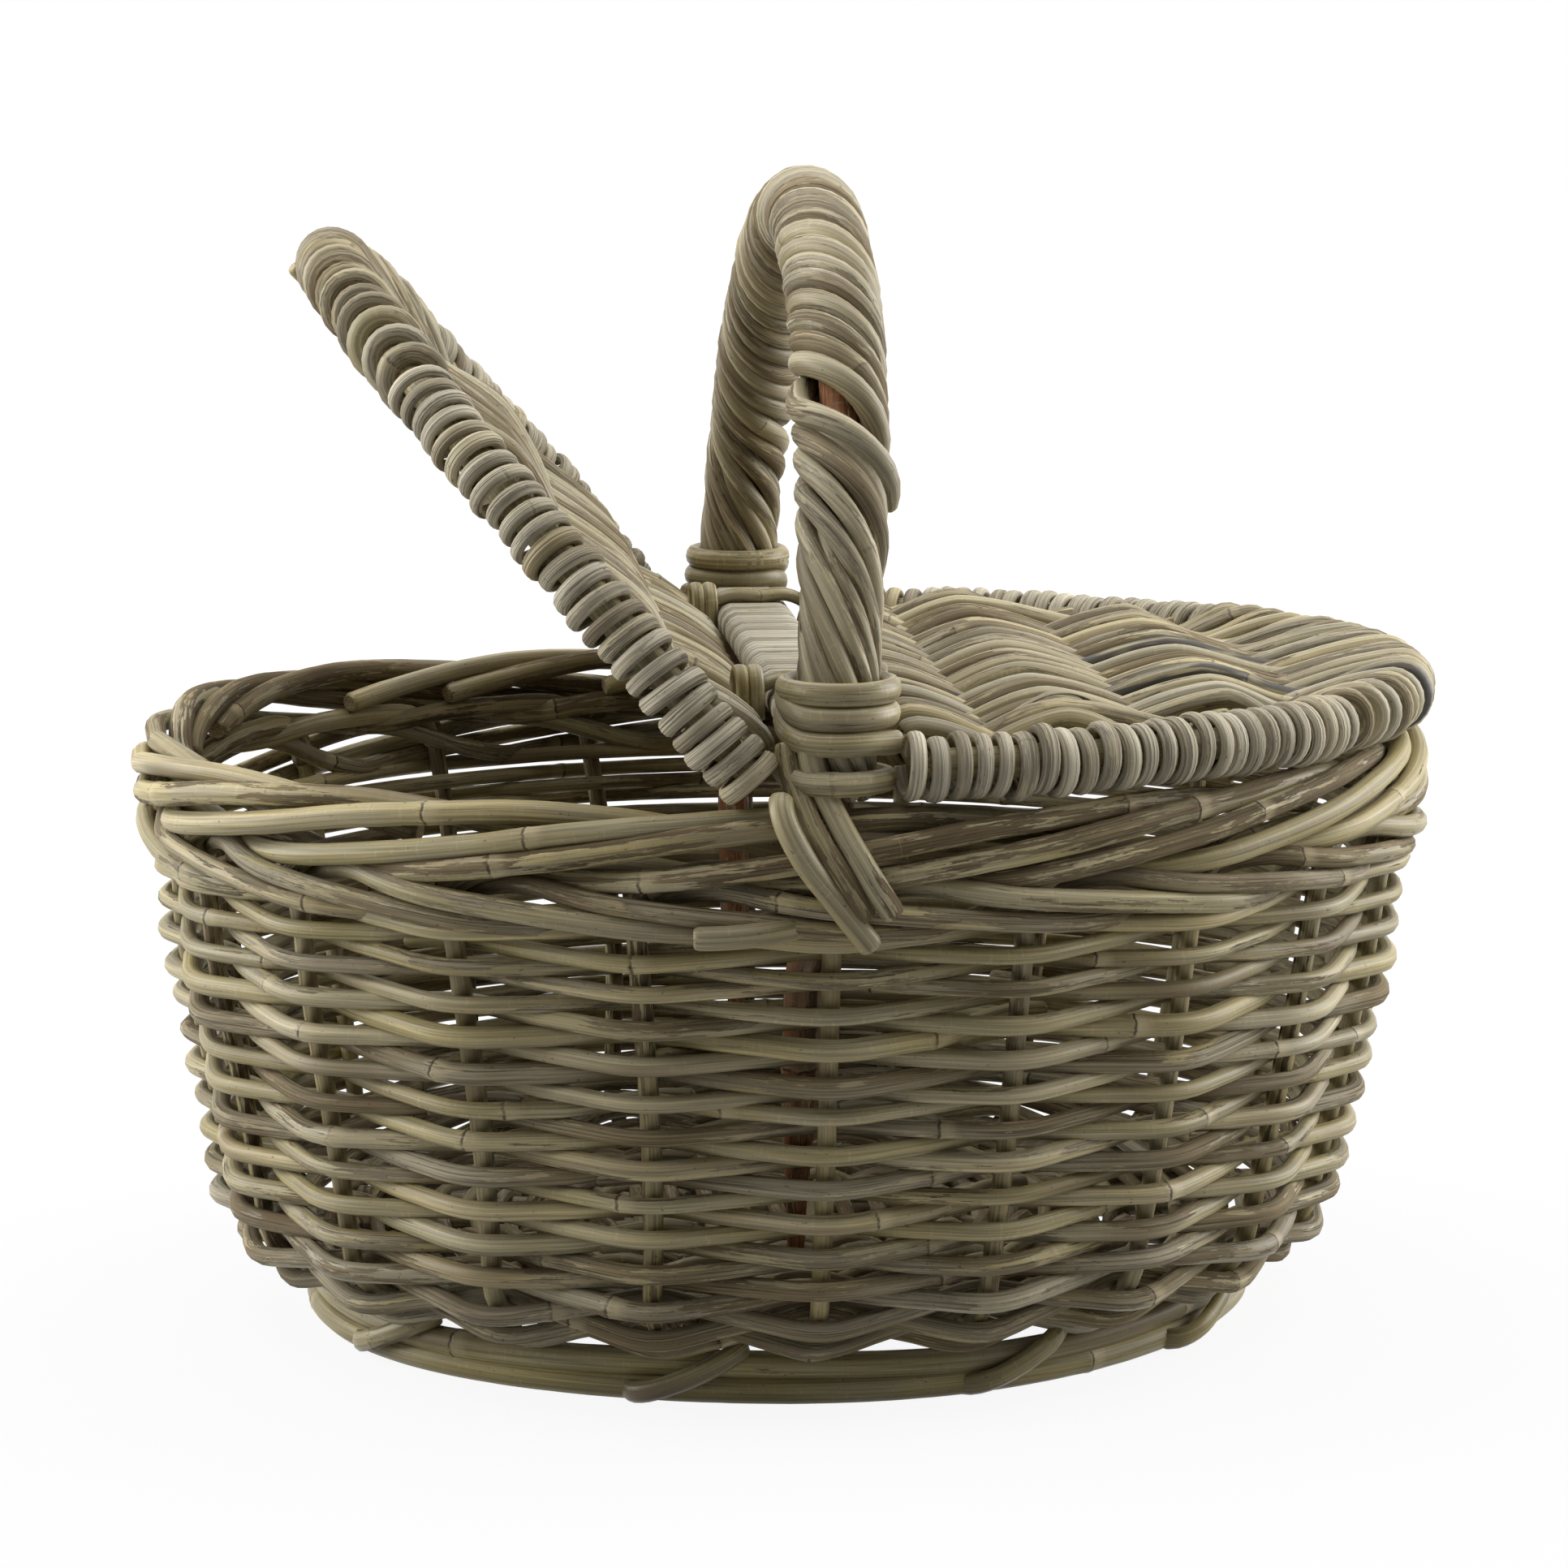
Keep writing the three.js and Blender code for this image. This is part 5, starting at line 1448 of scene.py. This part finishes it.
class BASKET_OT_cross_bar(BasketStep, bpy.types.Operator):
    """Lays the cross bar under the handle and wraps it with cane"""

    bl_idname = "basket.cross_bar"
    bl_label = "Cross bar"

    def execute(self, context):
        sizes, colours = self.settings(context)
        middle = (BAR_LOW + BAR_HIGH) / 2
        half_width, _, half_height = (BAR_HIGH - BAR_LOW) / 2
        stick = Rods("bar", sizes.seed)
        reach = np.linspace(BAR_LOW[1], BAR_HIGH[1], BAR_STEPS)
        path = np.stack([bar_aside(reach), reach, middle[2] + 0 * reach], 1)
        stick.add(path, half_width, UP, swelling=0.0)
        bar = sweep("bar_stick", stick, core_finish(colours), flatness=half_height / half_width,
                    squareness=BAR_SQUARENESS, sides=16, relief=0.03)
        fit(bar, "basket", "core", "cross_bar")
        cane = Rods("cane", sizes.seed)
        lift = BAR_WRAP_HALF + BAR_WRAP_GAP
        loop = rounded_loop(half_width + lift, half_height + lift, BAR_CORNER)
        crown = BAR_CROWN * (1 - (loop[:, 0] / half_width) ** 2)
        loop[:, 1] += np.where(loop[:, 1] > 0, crown, 0.0)
        outs = loop / (half_width, half_height)
        outs = np.stack([outs[:, 0] ** 3, 0 * outs[:, 0], outs[:, 1] ** 3], 1)
        half = (CANE_HIGH[1] - CANE_LOW[1]) / 2 - sizes.cane / 2
        count = round(2 * half / sizes.cane)
        for place in np.linspace(-half, half, count):
            slant = np.linspace(-CANE_SLANT, CANE_SLANT, len(loop)) * sizes.cane
            slant = slant * cane.random.uniform(*CANE_SLANT_SHARE)
            along = place + slant + cane.random.normal(0, CANE_STRAY)
            path = np.stack([bar_aside(place) + loop[:, 0], along, middle[2] + loop[:, 1]], 1)
            cane.add(path, sizes.cane / 2 * CANE_OVERLAP, unit(outs), step=2.5 * MM, swelling=0.0)
        wrapped = sweep("bar_cane", cane, cane_finish(colours), flatness=2 * BAR_WRAP_HALF / sizes.cane,
                        squareness=CANE_SQUARENESS, relief=0.05)
        fit(wrapped, "basket", "cane", "cross_bar_wrap")
        return {"FINISHED"}


# Hinge straps and their bindings

STRAP_ROD = 4.6 * MM
STRAP_APART = 2.5 * MM
# How much further apart a strap's two rods are over the bar, and closer at the rails
STRAP_SPREAD = 0.25
STRAP_TILT = 0.3
STRAP_LEVEL = 249.0 * MM
# The hook round a rail: its radius, and where it starts and ends, in degrees
STRAP_HOOK = 8.1 * MM
STRAP_HOOK_FROM = 110
STRAP_HOOK_TO = -60
STRAP_HOOK_STEPS = 9
BINDING_ROD = 5.2 * MM
BINDING_FLATNESS = 0.6
BINDING_PLACE = 22.0 * MM
BINDING_PITCH = 4.9 * MM
BINDING_TOP = 253.2 * MM
BINDING_FOOT = 236.2 * MM
BINDING_HALF = 6.0 * MM
BINDING_ROUND = 0.9
BINDING_SLANT = 0.3


def half_strap():
    """From the middle of the bar to the hook under the right rail, as points of X and Z."""
    hook = [(HINGE_OFFSET + STRAP_HOOK * math.cos(a), HINGE_HEIGHT + STRAP_HOOK * math.sin(a))
            for a in np.radians(np.linspace(STRAP_HOOK_FROM, STRAP_HOOK_TO, STRAP_HOOK_STEPS))]
    return np.array([(0.0, STRAP_LEVEL), (BAR_HIGH[0], STRAP_LEVEL), *hook])


class BASKET_OT_hinges(BasketStep, bpy.types.Operator):
    """Lays the double straps that the lids hang on and binds them"""

    bl_idname = "basket.hinges"
    bl_label = "Hinge straps"

    def execute(self, context):
        sizes, colours = self.settings(context)
        finish = lash_finish(colours)
        half = half_strap()
        full = np.concatenate([(half[1:] * (-1, 1))[::-1], half])
        for name, side in (("front", -1), ("back", 1)):
            straps = Rods("strap_" + name, sizes.seed)
            for apart in (-STRAP_APART, STRAP_APART):
                keys = np.stack([full[:, 0], np.full(len(full), side * STRAP_PLACE + apart), full[:, 1]], 1)
                line = flow(keys, 6)
                spread = 1 + STRAP_SPREAD * np.cos(np.clip(line[:, 0] / HINGE_OFFSET, -1, 1) * math.pi)
                line[:, 1] = side * STRAP_PLACE + apart * spread
                tilt = line[:, 0] * STRAP_TILT
                facing = np.stack([tilt, 0 * tilt, np.full(len(line), HINGE_OFFSET)], 1)
                straps.add(line, STRAP_ROD / 2, unit(facing), step=2.5 * MM)
            strap = sweep(name + "_hinge_strap", straps, finish, relief=0.08)
            fit(strap, "basket", "cane", "hinge_strap_" + name)
            tall = (BINDING_TOP - BINDING_FOOT) / 2
            loop = rounded_loop(BINDING_HALF, tall, BINDING_ROUND * BINDING_HALF)
            slant = np.linspace(-BINDING_SLANT, BINDING_SLANT, len(loop))
            across = side * STRAP_PLACE + loop[:, 0]
            heights = BINDING_FOOT + tall + loop[:, 1]
            out = unit(np.stack([0 * across, loop[:, 0] * tall, loop[:, 1] * BINDING_HALF], 1))
            for hand, way in (("left", -1), ("right", 1)):
                binding = Rods(f"binding_{name}_{hand}", sizes.seed)
                for turn in (-0.5, 0.5):
                    x = BINDING_PLACE + (turn + slant) * BINDING_PITCH
                    binding.add(np.stack([way * x, across, heights], 1), BINDING_ROD / 2, out, step=1.5 * MM)
                bound = sweep(f"{name}_{hand}_hinge_binding", binding, finish, flatness=BINDING_FLATNESS,
                              relief=0.06)
                fit(bound, "basket", "lashing", f"hinge_binding_{name}_{hand}")
        return {"FINISHED"}


# Lids: made lying along +X from the hinge, then turned to where each lid rests

LID_RIB_RADIUS = 3.6 * MM
LID_RIB_SHORTER = 9 * MM
RAIL_SHORTER = 7 * MM
RIM_ROD_START = 4 * MM
FRAME_STEPS = 60
RIM_STEPS = 160
# How far weavers swing over and under the ribs
LID_SWING = {"left_lid": 3.0 * MM, "right_lid": 5.0 * MM}
# How far from the middle rows reach round the rim, and hook all the way round the rail
END_ZONE = 112 * MM
RAIL_ZONE = 150 * MM
# A weaver's hooks, in degrees round the rail or the rim
RAIL_HOOK = 255
RAIL_HOOK_SHORT = 125
RAIL_HOOK_END = 92
PAST_RAIL = 2 * MM
RIM_HOOK_START = 88
RIM_HOOK_END = -150
RIM_HOOK_STEPS = 22
RIM_HOOK_CLOSENESS = 0.85
# Rows beside a strap start behind it
STRAP_ROOM = 14 * MM
STRAP_SWING = 20 * MM
# A row needs this much room past a rib to cross it
PAST_RIB = 14 * MM
# How far a row swings before it turns over the rim, and where it ends inside the wrapped rim
BEFORE_RIM = -0.1
INSIDE_RIM = -0.3
# How much of a row between two ribs is straight
ROW_STRAIGHT = 0.3
# How far inside the rim the rows at its wrapped part end, and how far from it the last rows lie
LID_RIM_END = 6.9 * MM
LID_ROWS_END = 13 * MM
LID_VARIETY = (0.84, 1.13)
LID_WANDER = 1.3 * MM
LID_WANDER_LENGTH = 20 * MM
LID_STEP = 2.7 * MM
# The strands round a lid's rim
WRAP_THICKNESS = 4.2 * MM
WRAP_SQUARENESS = 0.9
WRAP_RADIUS = 9.6 * MM
WRAP_RADIUS_VARIETY = (0.93, 1.06)
WRAP_VARIETY = (0.8, 1.1)
WRAP_PITCH_VARIETY = (0.92, 1.12)
WRAP_SLANT = (-0.1, 0.95)
WRAP_DROP = 0.9 * MM
WRAP_STRAY = 0.4 * MM
WRAP_START = -5 * MM
WRAP_ENDS = 172
WRAP_STEPS = 30
WRAP_STEP = 2.6 * MM
WRAP_SWELLING = 0.03
RIM_RUN_STEPS = 1200
# The left lid's corner beside the back lashing is bent down, and its strands lie closer there
CORNER_LENGTH = 70 * MM
CORNER_FROM = 110 * MM
CORNER_OVER = 60 * MM
CORNER_DROP = 3.0 * MM
CORNER_SNUG = 1.9 * MM
# How much longer, further open (in degrees) and higher each lid is than in the frame, as no two are alike
LID_GROWTH = {"left_lid": 7.0 * MM, "right_lid": 1.0 * MM}
LID_LIFT = {"left_lid": 0.5, "right_lid": 0.0}
LID_RAISED = {"left_lid": 1.6 * MM, "right_lid": 0.0}
# Rows stained black, counted from the front, and the numbers that stained and other rows get
STAINED_ROWS = {"left_lid": (), "right_lid": (13, 21)}
STAINED_NUMBER = 0.97
PLAIN_NUMBERS = 0.88
# A loose weaver's end under the left lid's tip, in millimetres from the hinge
TIP_END = ((150, -32, -8.0), (172, -24, -10.0), (192, -17, -11.0), (204, -13, -11.5))
TIP_END_RADIUS = 3.0 * MM
TIP_END_NUMBER = 0.3
# A strip of bark that has come up over the right lid's first rib, in millimetres from the hinge
CURL = ((35, -121, 5.5), (43, -123, 10.5), (51, -124, 14.0), (60, -122, 12.5), (69, -119, 6.5))
CURL_WIDTH = 9 * MM
CURL_FLATNESS = 0.12
CURL_NUMBER = 0.1


def lid_matrix(lid):
    """Turns a lid from lying along +X to its place at rest."""
    joint = HINGES[lid]
    opening = LID_LIFT[lid] - joint["range_deg"][0]
    opened = Matrix.Rotation(math.radians(opening), 4, Vector(joint["axis"]))
    facing = Matrix.Rotation(0.0 if joint["pos_m"][0] > 0 else math.pi, 4, "Z")
    longer = 1 + LID_GROWTH[lid] / (LID_LENGTH - HINGE_OFFSET)
    stretched = Matrix.Translation((0.0, 0.0, LID_RAISED[lid])) @ Matrix.Diagonal((longer, 1.0, 1.0, 1.0))
    return np.array(Matrix.Translation(joint["pos_m"]) @ opened @ facing @ stretched)


def lid_rim(angle):
    """Points of the lid's rim, from the hinge axis."""
    angle = np.asarray(angle, float)
    return np.stack([LID_LENGTH * np.cos(angle) - HINGE_OFFSET, LID_WIDTH * np.sin(angle), 0 * angle], -1)


def at_corner(points):
    """How near points are to the corner of the left lid beside the back lashing, 0 to 1."""
    return ease(1 - points[..., 0] / CORNER_LENGTH) * ease((-points[..., 1] - CORNER_FROM) / CORNER_OVER)


def low_corner(points):
    """The left lid's points with that corner bent down."""
    return points - CORNER_DROP * at_corner(points)[:, None] * UP


LID_FORMS = {"left_lid": low_corner, "right_lid": None}


def lid_angle(from_rail):
    """The angle on the rim at a distance from the rail."""
    return math.acos((HINGE_OFFSET + from_rail) / LID_LENGTH)


def lid_reach(y, inset):
    """How far from the rail a row reaches, to a line that lies a little inside the rim."""
    return (LID_LENGTH - inset) * math.sqrt(max(0.0, 1 - (y / (LID_WIDTH - inset)) ** 2)) - HINGE_OFFSET


def arc(centre_x, y, radius, start, end, steps=14):
    """Points round a rod that lies along Y."""
    turn = np.radians(np.linspace(start, end, steps))
    return np.stack([centre_x + radius * np.cos(turn), y + 0 * turn, radius * np.sin(turn)], 1)


def swung(keys, step=2 * MM):
    """A line through keys of place and height that is nearly level at each key."""
    places, heights = np.array(keys).T
    at = np.arange(places[0], places[-1], step)
    i = np.clip(np.searchsorted(places, at, "right") - 1, 0, len(keys) - 2)
    part = (at - places[i]) / (places[i + 1] - places[i])
    rounded = (1 - np.cos(math.pi * part)) / 2
    part = (1 - ROW_STRAIGHT) * rounded + ROW_STRAIGHT * part
    return at, heights[i] + (heights[i + 1] - heights[i]) * part


def lid_row(y, over, radius, reach):
    """A lid's weaver: over the rail (1) or under it (-1), the other way at each rib, then round the rim."""
    rail_turn = RAIL_RADIUS + radius
    swing = reach + radius
    rim_turn = LID_ROD_RADIUS + RIM_HOOK_CLOSENESS * radius
    in_end_zone = abs(y) < END_ZONE
    end = lid_reach(y, 0.0 if in_end_zone else LID_RIM_END)
    ribs = [rib for rib in RIBS if rib < end - PAST_RIB]
    keys = [(0.0, over * rail_turn)]
    side = over
    for rib in ribs:
        side = -side
        keys.append((rib, side * swing))
    if in_end_zone and side > 0:
        keys.append(((ribs[-1] + end) / 2, BEFORE_RIM * swing))
    keys.append((end, rim_turn if in_end_zone else INSIDE_RIM * side * swing))
    along, height = swung(keys)
    body = np.stack([along, y + 0 * along, height], 1)
    near_strap = abs(abs(y) - STRAP_PLACE) < STRAP_ROOM
    parts = []
    if near_strap:
        body = body[along > STRAP_SWING]
    else:
        hook = RAIL_HOOK if abs(y) < RAIL_ZONE else RAIL_HOOK_SHORT
        parts.append(arc(0.0, y, rail_turn, over * hook, over * RAIL_HOOK_END))
        body = body[along > PAST_RAIL]
    parts.append(body)
    if in_end_zone:
        parts.append(arc(end, y, rim_turn, RIM_HOOK_START, RIM_HOOK_END, RIM_HOOK_STEPS))
    return np.concatenate(parts)


class BASKET_OT_lids(BasketStep, bpy.types.Operator):
    """Builds both lids: rail, rim and ribs, weavers, and the strands round the rim"""

    bl_idname = "basket.lids"
    bl_label = "Lids"

    def frame_rods(self, lid, sizes):
        """The rail, the rim and the ribs."""
        rods = Rods(lid + "_frame", sizes.seed, LID_FORMS[lid])
        half = RAIL_HIGH[1] - RAIL_SHORTER
        reach = np.linspace(-half, half, FRAME_STEPS)
        rods.add(np.stack([0 * reach, reach, 0 * reach], 1), RAIL_RADIUS, UP)
        end = lid_angle(RIM_ROD_START)
        rods.add(lid_rim(np.linspace(-end, end, RIM_STEPS)), LID_ROD_RADIUS, UP)
        for rib in RIBS:
            half = LID_WIDTH * math.sin(lid_angle(rib)) - LID_RIB_SHORTER
            reach = np.linspace(-half, half, FRAME_STEPS)
            rods.add(np.stack([rib + 0 * reach, reach, 0 * reach], 1), LID_RIB_RADIUS, UP)
        return rods

    def weavers(self, lid, sizes):
        """The rows from one end of the rail to the other, and the left lid's loose end."""
        rods = Rods(lid + "_weave", sizes.seed, LID_FORMS[lid])
        widest = LID_WIDTH - LID_ROWS_END
        count = 2 * int(widest / sizes.lid_row) + 1
        for row in range(count):
            y = (row - count // 2) * sizes.lid_row
            radius = sizes.lid_weaver / 2 * rods.random.uniform(*LID_VARIETY)
            path = lid_row(y, 1 if row % 2 else -1, radius, LID_SWING[lid])
            path[:, 1] += wander(rods.random, path[:, 0] / LID_WANDER_LENGTH, LID_WANDER)
            number = STAINED_NUMBER if row in STAINED_ROWS[lid] else PLAIN_NUMBERS * rods.random.random()
            rods.add(path, radius, (0, 1, 0), step=LID_STEP, number=number)
        if lid == "left_lid":
            rods.add(flow(np.array(TIP_END) * MM), TIP_END_RADIUS, (0, 1, 0), number=TIP_END_NUMBER)
        return rods

    def wraps(self, lid, sizes):
        """The strands round the rim, on both sides of the end zone."""
        rods = Rods(lid + "_wrap", sizes.seed, LID_FORMS[lid])
        turn = np.linspace(-lid_angle(WRAP_START), lid_angle(WRAP_START), RIM_RUN_STEPS)
        run = lengths_along(lid_rim(turn))
        place = 0.0
        while place < run[-1]:
            angle = float(np.interp(place, run, turn))
            if abs(LID_WIDTH * math.sin(angle)) >= END_ZONE:
                snug = CORNER_SNUG * at_corner(lid_rim(angle)) if LID_FORMS[lid] else 0
                self.add_wrap(rods, angle, snug, sizes)
            place += sizes.wrap_pitch * rods.random.uniform(*WRAP_PITCH_VARIETY)
        return rods

    def add_wrap(self, rods, angle, snug, sizes):
        """Adds a slanting strand round the rim, closer to it where it has to be snug."""
        random = rods.random
        round_it = np.radians(np.linspace(-WRAP_ENDS, WRAP_ENDS, WRAP_STEPS))
        slant = sizes.wrap_pitch * random.uniform(*WRAP_SLANT) * np.linspace(-0.5, 0.5, WRAP_STEPS)
        per_turn = math.hypot(LID_LENGTH * math.sin(angle), LID_WIDTH * math.cos(angle))
        angles = angle + slant / per_turn
        along = unit(lid_rim(angle + SMALL_TURN) - lid_rim(angle - SMALL_TURN))
        level = np.cross(along, UP)
        out = level * np.cos(round_it)[:, None] + UP * np.sin(round_it)[:, None]
        lift = WRAP_RADIUS * random.uniform(*WRAP_RADIUS_VARIETY) - snug
        path = lid_rim(angles) + out * lift - UP * (WRAP_DROP + random.normal(0, WRAP_STRAY))
        radius = sizes.wrap / 2 * random.uniform(*WRAP_VARIETY)
        rods.add(path, radius, out, step=WRAP_STEP, swelling=WRAP_SWELLING)

    def turned(self, rods, matrix):
        """Turns rods made lying along +X to a lid's place."""
        for key, turn_only in (("co", False), ("rod_facing", True)):
            shift = 0 if turn_only else matrix[:3, 3]
            rods.parts[key] = [points @ matrix[:3, :3].T + shift for points in rods.parts[key]]
        return rods

    def curl(self, sizes, colours):
        """The strip of bark that has come up from the right lid."""
        rods = Rods("curl", sizes.seed)
        path = flow(np.array(CURL) * MM)
        rods.add(path, CURL_WIDTH / 2, UP, step=2 * MM, swelling=0.0, number=CURL_NUMBER)
        rods = self.turned(rods, lid_matrix("right_lid"))
        strip = sweep("right_lid_bark_curl", rods, lid_finish(colours), flatness=CURL_FLATNESS, relief=0.1)
        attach(strip, "right_lid")

    def execute(self, context):
        sizes, colours = self.settings(context)
        self.curl(sizes, colours)
        for lid in HINGES:
            matrix = lid_matrix(lid)
            rods = self.turned(self.frame_rods(lid, sizes), matrix)
            frame_piece = sweep(f"{lid}_frame", rods, rod_finish(colours), relief=0.06)
            fit(frame_piece, lid, "rod", *[f"{lid}_{node}" for node in ("rail", "rim", "rib_1", "rib_2")])
            rods = self.turned(self.weavers(lid, sizes), matrix)
            fit(sweep(f"{lid}_weavers", rods, lid_finish(colours)), lid, "lid_weave", f"{lid}_weave")
            rods = self.turned(self.wraps(lid, sizes), matrix)
            wraps = sweep(f"{lid}_wraps", rods, wrap_finish(colours), flatness=WRAP_THICKNESS / sizes.wrap,
                          squareness=WRAP_SQUARENESS, relief=0.12)
            fit(wraps, lid, "lid_wrap", f"{lid}_rim_wrap")
        return {"FINISHED"}


# The stage

CAMERA_LENS = 103.43
CAMERA_AZIMUTH = -5.1
CAMERA_ELEVATION = 10.2
CAMERA_DISTANCE = 1.6758
CAMERA_TARGET = Vector((0.0005, 0.0, 0.1916))
# How far up the picture is shifted, in pixels of its width
PICTURE_WIDTH = 1932
CAMERA_SHIFT = 4.7 / PICTURE_WIDTH
CAMERA_SENSOR = 36.0
FLOOR_SIZE = 16.0
FLOOR_DROP = 0.3 * MM
# The floor glows white, less so near the basket, where its own shade keeps the shadow
FLOOR_WHITE = 1.04
FLOOR_NEAR = 0.5
FLOOR_FAR = 1.3
FLOOR_SHARE = 0.88
FLOOR_SHADE = 0.42
WHITE = 1.0
WORLD_LIGHT = 0.12
# Softboxes: name, place, size and power
SOFTBOXES = (
    ("top_light", (0.0, 0.3, 2.0), 2.4, 50.0),
    ("left_light", (-1.8, 0.3, 0.9), 1.6, 52.0),
    ("right_light", (1.8, 0.3, 0.9), 1.6, 54.0),
)


class BASKET_OT_stage(BasketStep, bpy.types.Operator):
    """Sets the floor, the soft light and the camera"""

    bl_idname = "basket.stage"
    bl_label = "Stage"

    def floor(self):
        bpy.ops.mesh.primitive_plane_add(size=FLOOR_SIZE, location=(0, 0, -FLOOR_DROP))
        floor = bpy.context.object
        floor.name = "studio_floor"
        material = bpy.data.materials.new("white_floor")
        material.use_nodes = True
        graph = Graph(material.node_tree)
        material.node_tree.nodes.remove(material.node_tree.nodes["Principled BSDF"])
        plain = graph.node("ShaderNodeBsdfDiffuse", {"Color": (*[FLOOR_SHADE] * 3, 1.0)})
        bright = graph.node("ShaderNodeEmission", {"Color": (1.0, 1.0, 1.0, 1.0), "Strength": FLOOR_WHITE})
        place = graph.node("ShaderNodeTexCoord").outputs["Object"]
        away = graph.node("ShaderNodeVectorMath", {0: place}, operation="LENGTH").outputs["Value"]
        share = graph.band(away, FLOOR_NEAR, FLOOR_FAR, FLOOR_SHARE, 1.0)
        share = graph.maths("MULTIPLY", self.seen(graph), share)
        mixed = graph.node("ShaderNodeMixShader", {0: share, 1: plain.outputs[0], 2: bright.outputs[0]})
        graph.tree.links.new(mixed.outputs[0], material.node_tree.nodes["Material Output"].inputs["Surface"])
        floor.data.materials.append(material)

    def seen(self, graph):
        """1 for rays that show the background, 0 for those that only carry light."""
        path = graph.node("ShaderNodeLightPath").outputs
        seen = graph.maths("MAXIMUM", path["Is Camera Ray"], path["Is Glossy Ray"])
        return graph.maths("MAXIMUM", seen, path["Is Transmission Ray"])

    def sky(self, context):
        world = bpy.data.worlds.new("white_studio")
        context.scene.world = world
        world.use_nodes = True
        graph = Graph(world.node_tree)
        background = world.node_tree.nodes["Background"]
        background.inputs["Color"].default_value = (1.0, 1.0, 1.0, 1.0)
        shown = graph.maths("MULTIPLY", self.seen(graph), WHITE - WORLD_LIGHT)
        strength = graph.maths("ADD", shown, WORLD_LIGHT)
        graph.tree.links.new(strength, background.inputs["Strength"])

    def lights(self, context):
        for name, place, size, power in SOFTBOXES:
            data = bpy.data.lights.new(name, "AREA")
            data.size = size
            data.energy = power
            light = bpy.data.objects.new(name, data)
            light.location = place
            light.rotation_euler = (CAMERA_TARGET - Vector(place)).to_track_quat("-Z", "Y").to_euler()
            context.scene.collection.objects.link(light)

    def camera(self, context):
        azimuth = math.radians(CAMERA_AZIMUTH)
        elevation = math.radians(CAMERA_ELEVATION)
        back = Vector((math.sin(azimuth) * math.cos(elevation), -math.cos(azimuth) * math.cos(elevation),
                       math.sin(elevation)))
        data = bpy.data.cameras.new("studio_camera")
        data.sensor_width = CAMERA_SENSOR
        data.lens = CAMERA_LENS
        data.shift_y = CAMERA_SHIFT
        camera = bpy.data.objects.new("studio_camera", data)
        camera.location = CAMERA_TARGET + back * CAMERA_DISTANCE
        camera.rotation_euler = (-back).to_track_quat("-Z", "Y").to_euler()
        context.scene.collection.objects.link(camera)
        context.scene.camera = camera

    def execute(self, context):
        context.scene.view_settings.view_transform = "Standard"
        self.floor()
        self.sky(context)
        self.lights(context)
        self.camera(context)
        return {"FINISHED"}


STEPS = (
    BASKET_OT_stage, BASKET_OT_stakes, BASKET_OT_wall, BASKET_OT_border, BASKET_OT_base, BASKET_OT_foot,
    BASKET_OT_handle, BASKET_OT_lashings, BASKET_OT_cross_bar, BASKET_OT_hinges, BASKET_OT_lids,
)


class BASKET_PT_panel(bpy.types.Panel):
    """Lists the steps of the making and their settings"""

    bl_idname = "BASKET_PT_panel"
    bl_label = "Picnic basket"
    bl_space_type = "VIEW_3D"
    bl_region_type = "UI"
    bl_category = "Basket"

    def draw(self, context):
        for step in STEPS:
            self.layout.operator(step.bl_idname)
        for group in (context.scene.basket_sizes, context.scene.basket_colours):
            box = self.layout.box()
            for key in group.__annotations__:
                box.prop(group, key)


CLASSES = (BasketSizes, BasketColours, *STEPS, BASKET_PT_panel)


def register():
    for cls in CLASSES:
        bpy.utils.register_class(cls)
    bpy.types.Scene.basket_sizes = bpy.props.PointerProperty(type=BasketSizes)
    bpy.types.Scene.basket_colours = bpy.props.PointerProperty(type=BasketColours)


def unregister():
    del bpy.types.Scene.basket_colours
    del bpy.types.Scene.basket_sizes
    for cls in reversed(CLASSES):
        bpy.utils.unregister_class(cls)


def main():
    register()
    for step in STEPS:
        group, name = step.bl_idname.split(".")
        getattr(getattr(bpy.ops, group), name)()


if __name__ == "__main__":
    main()
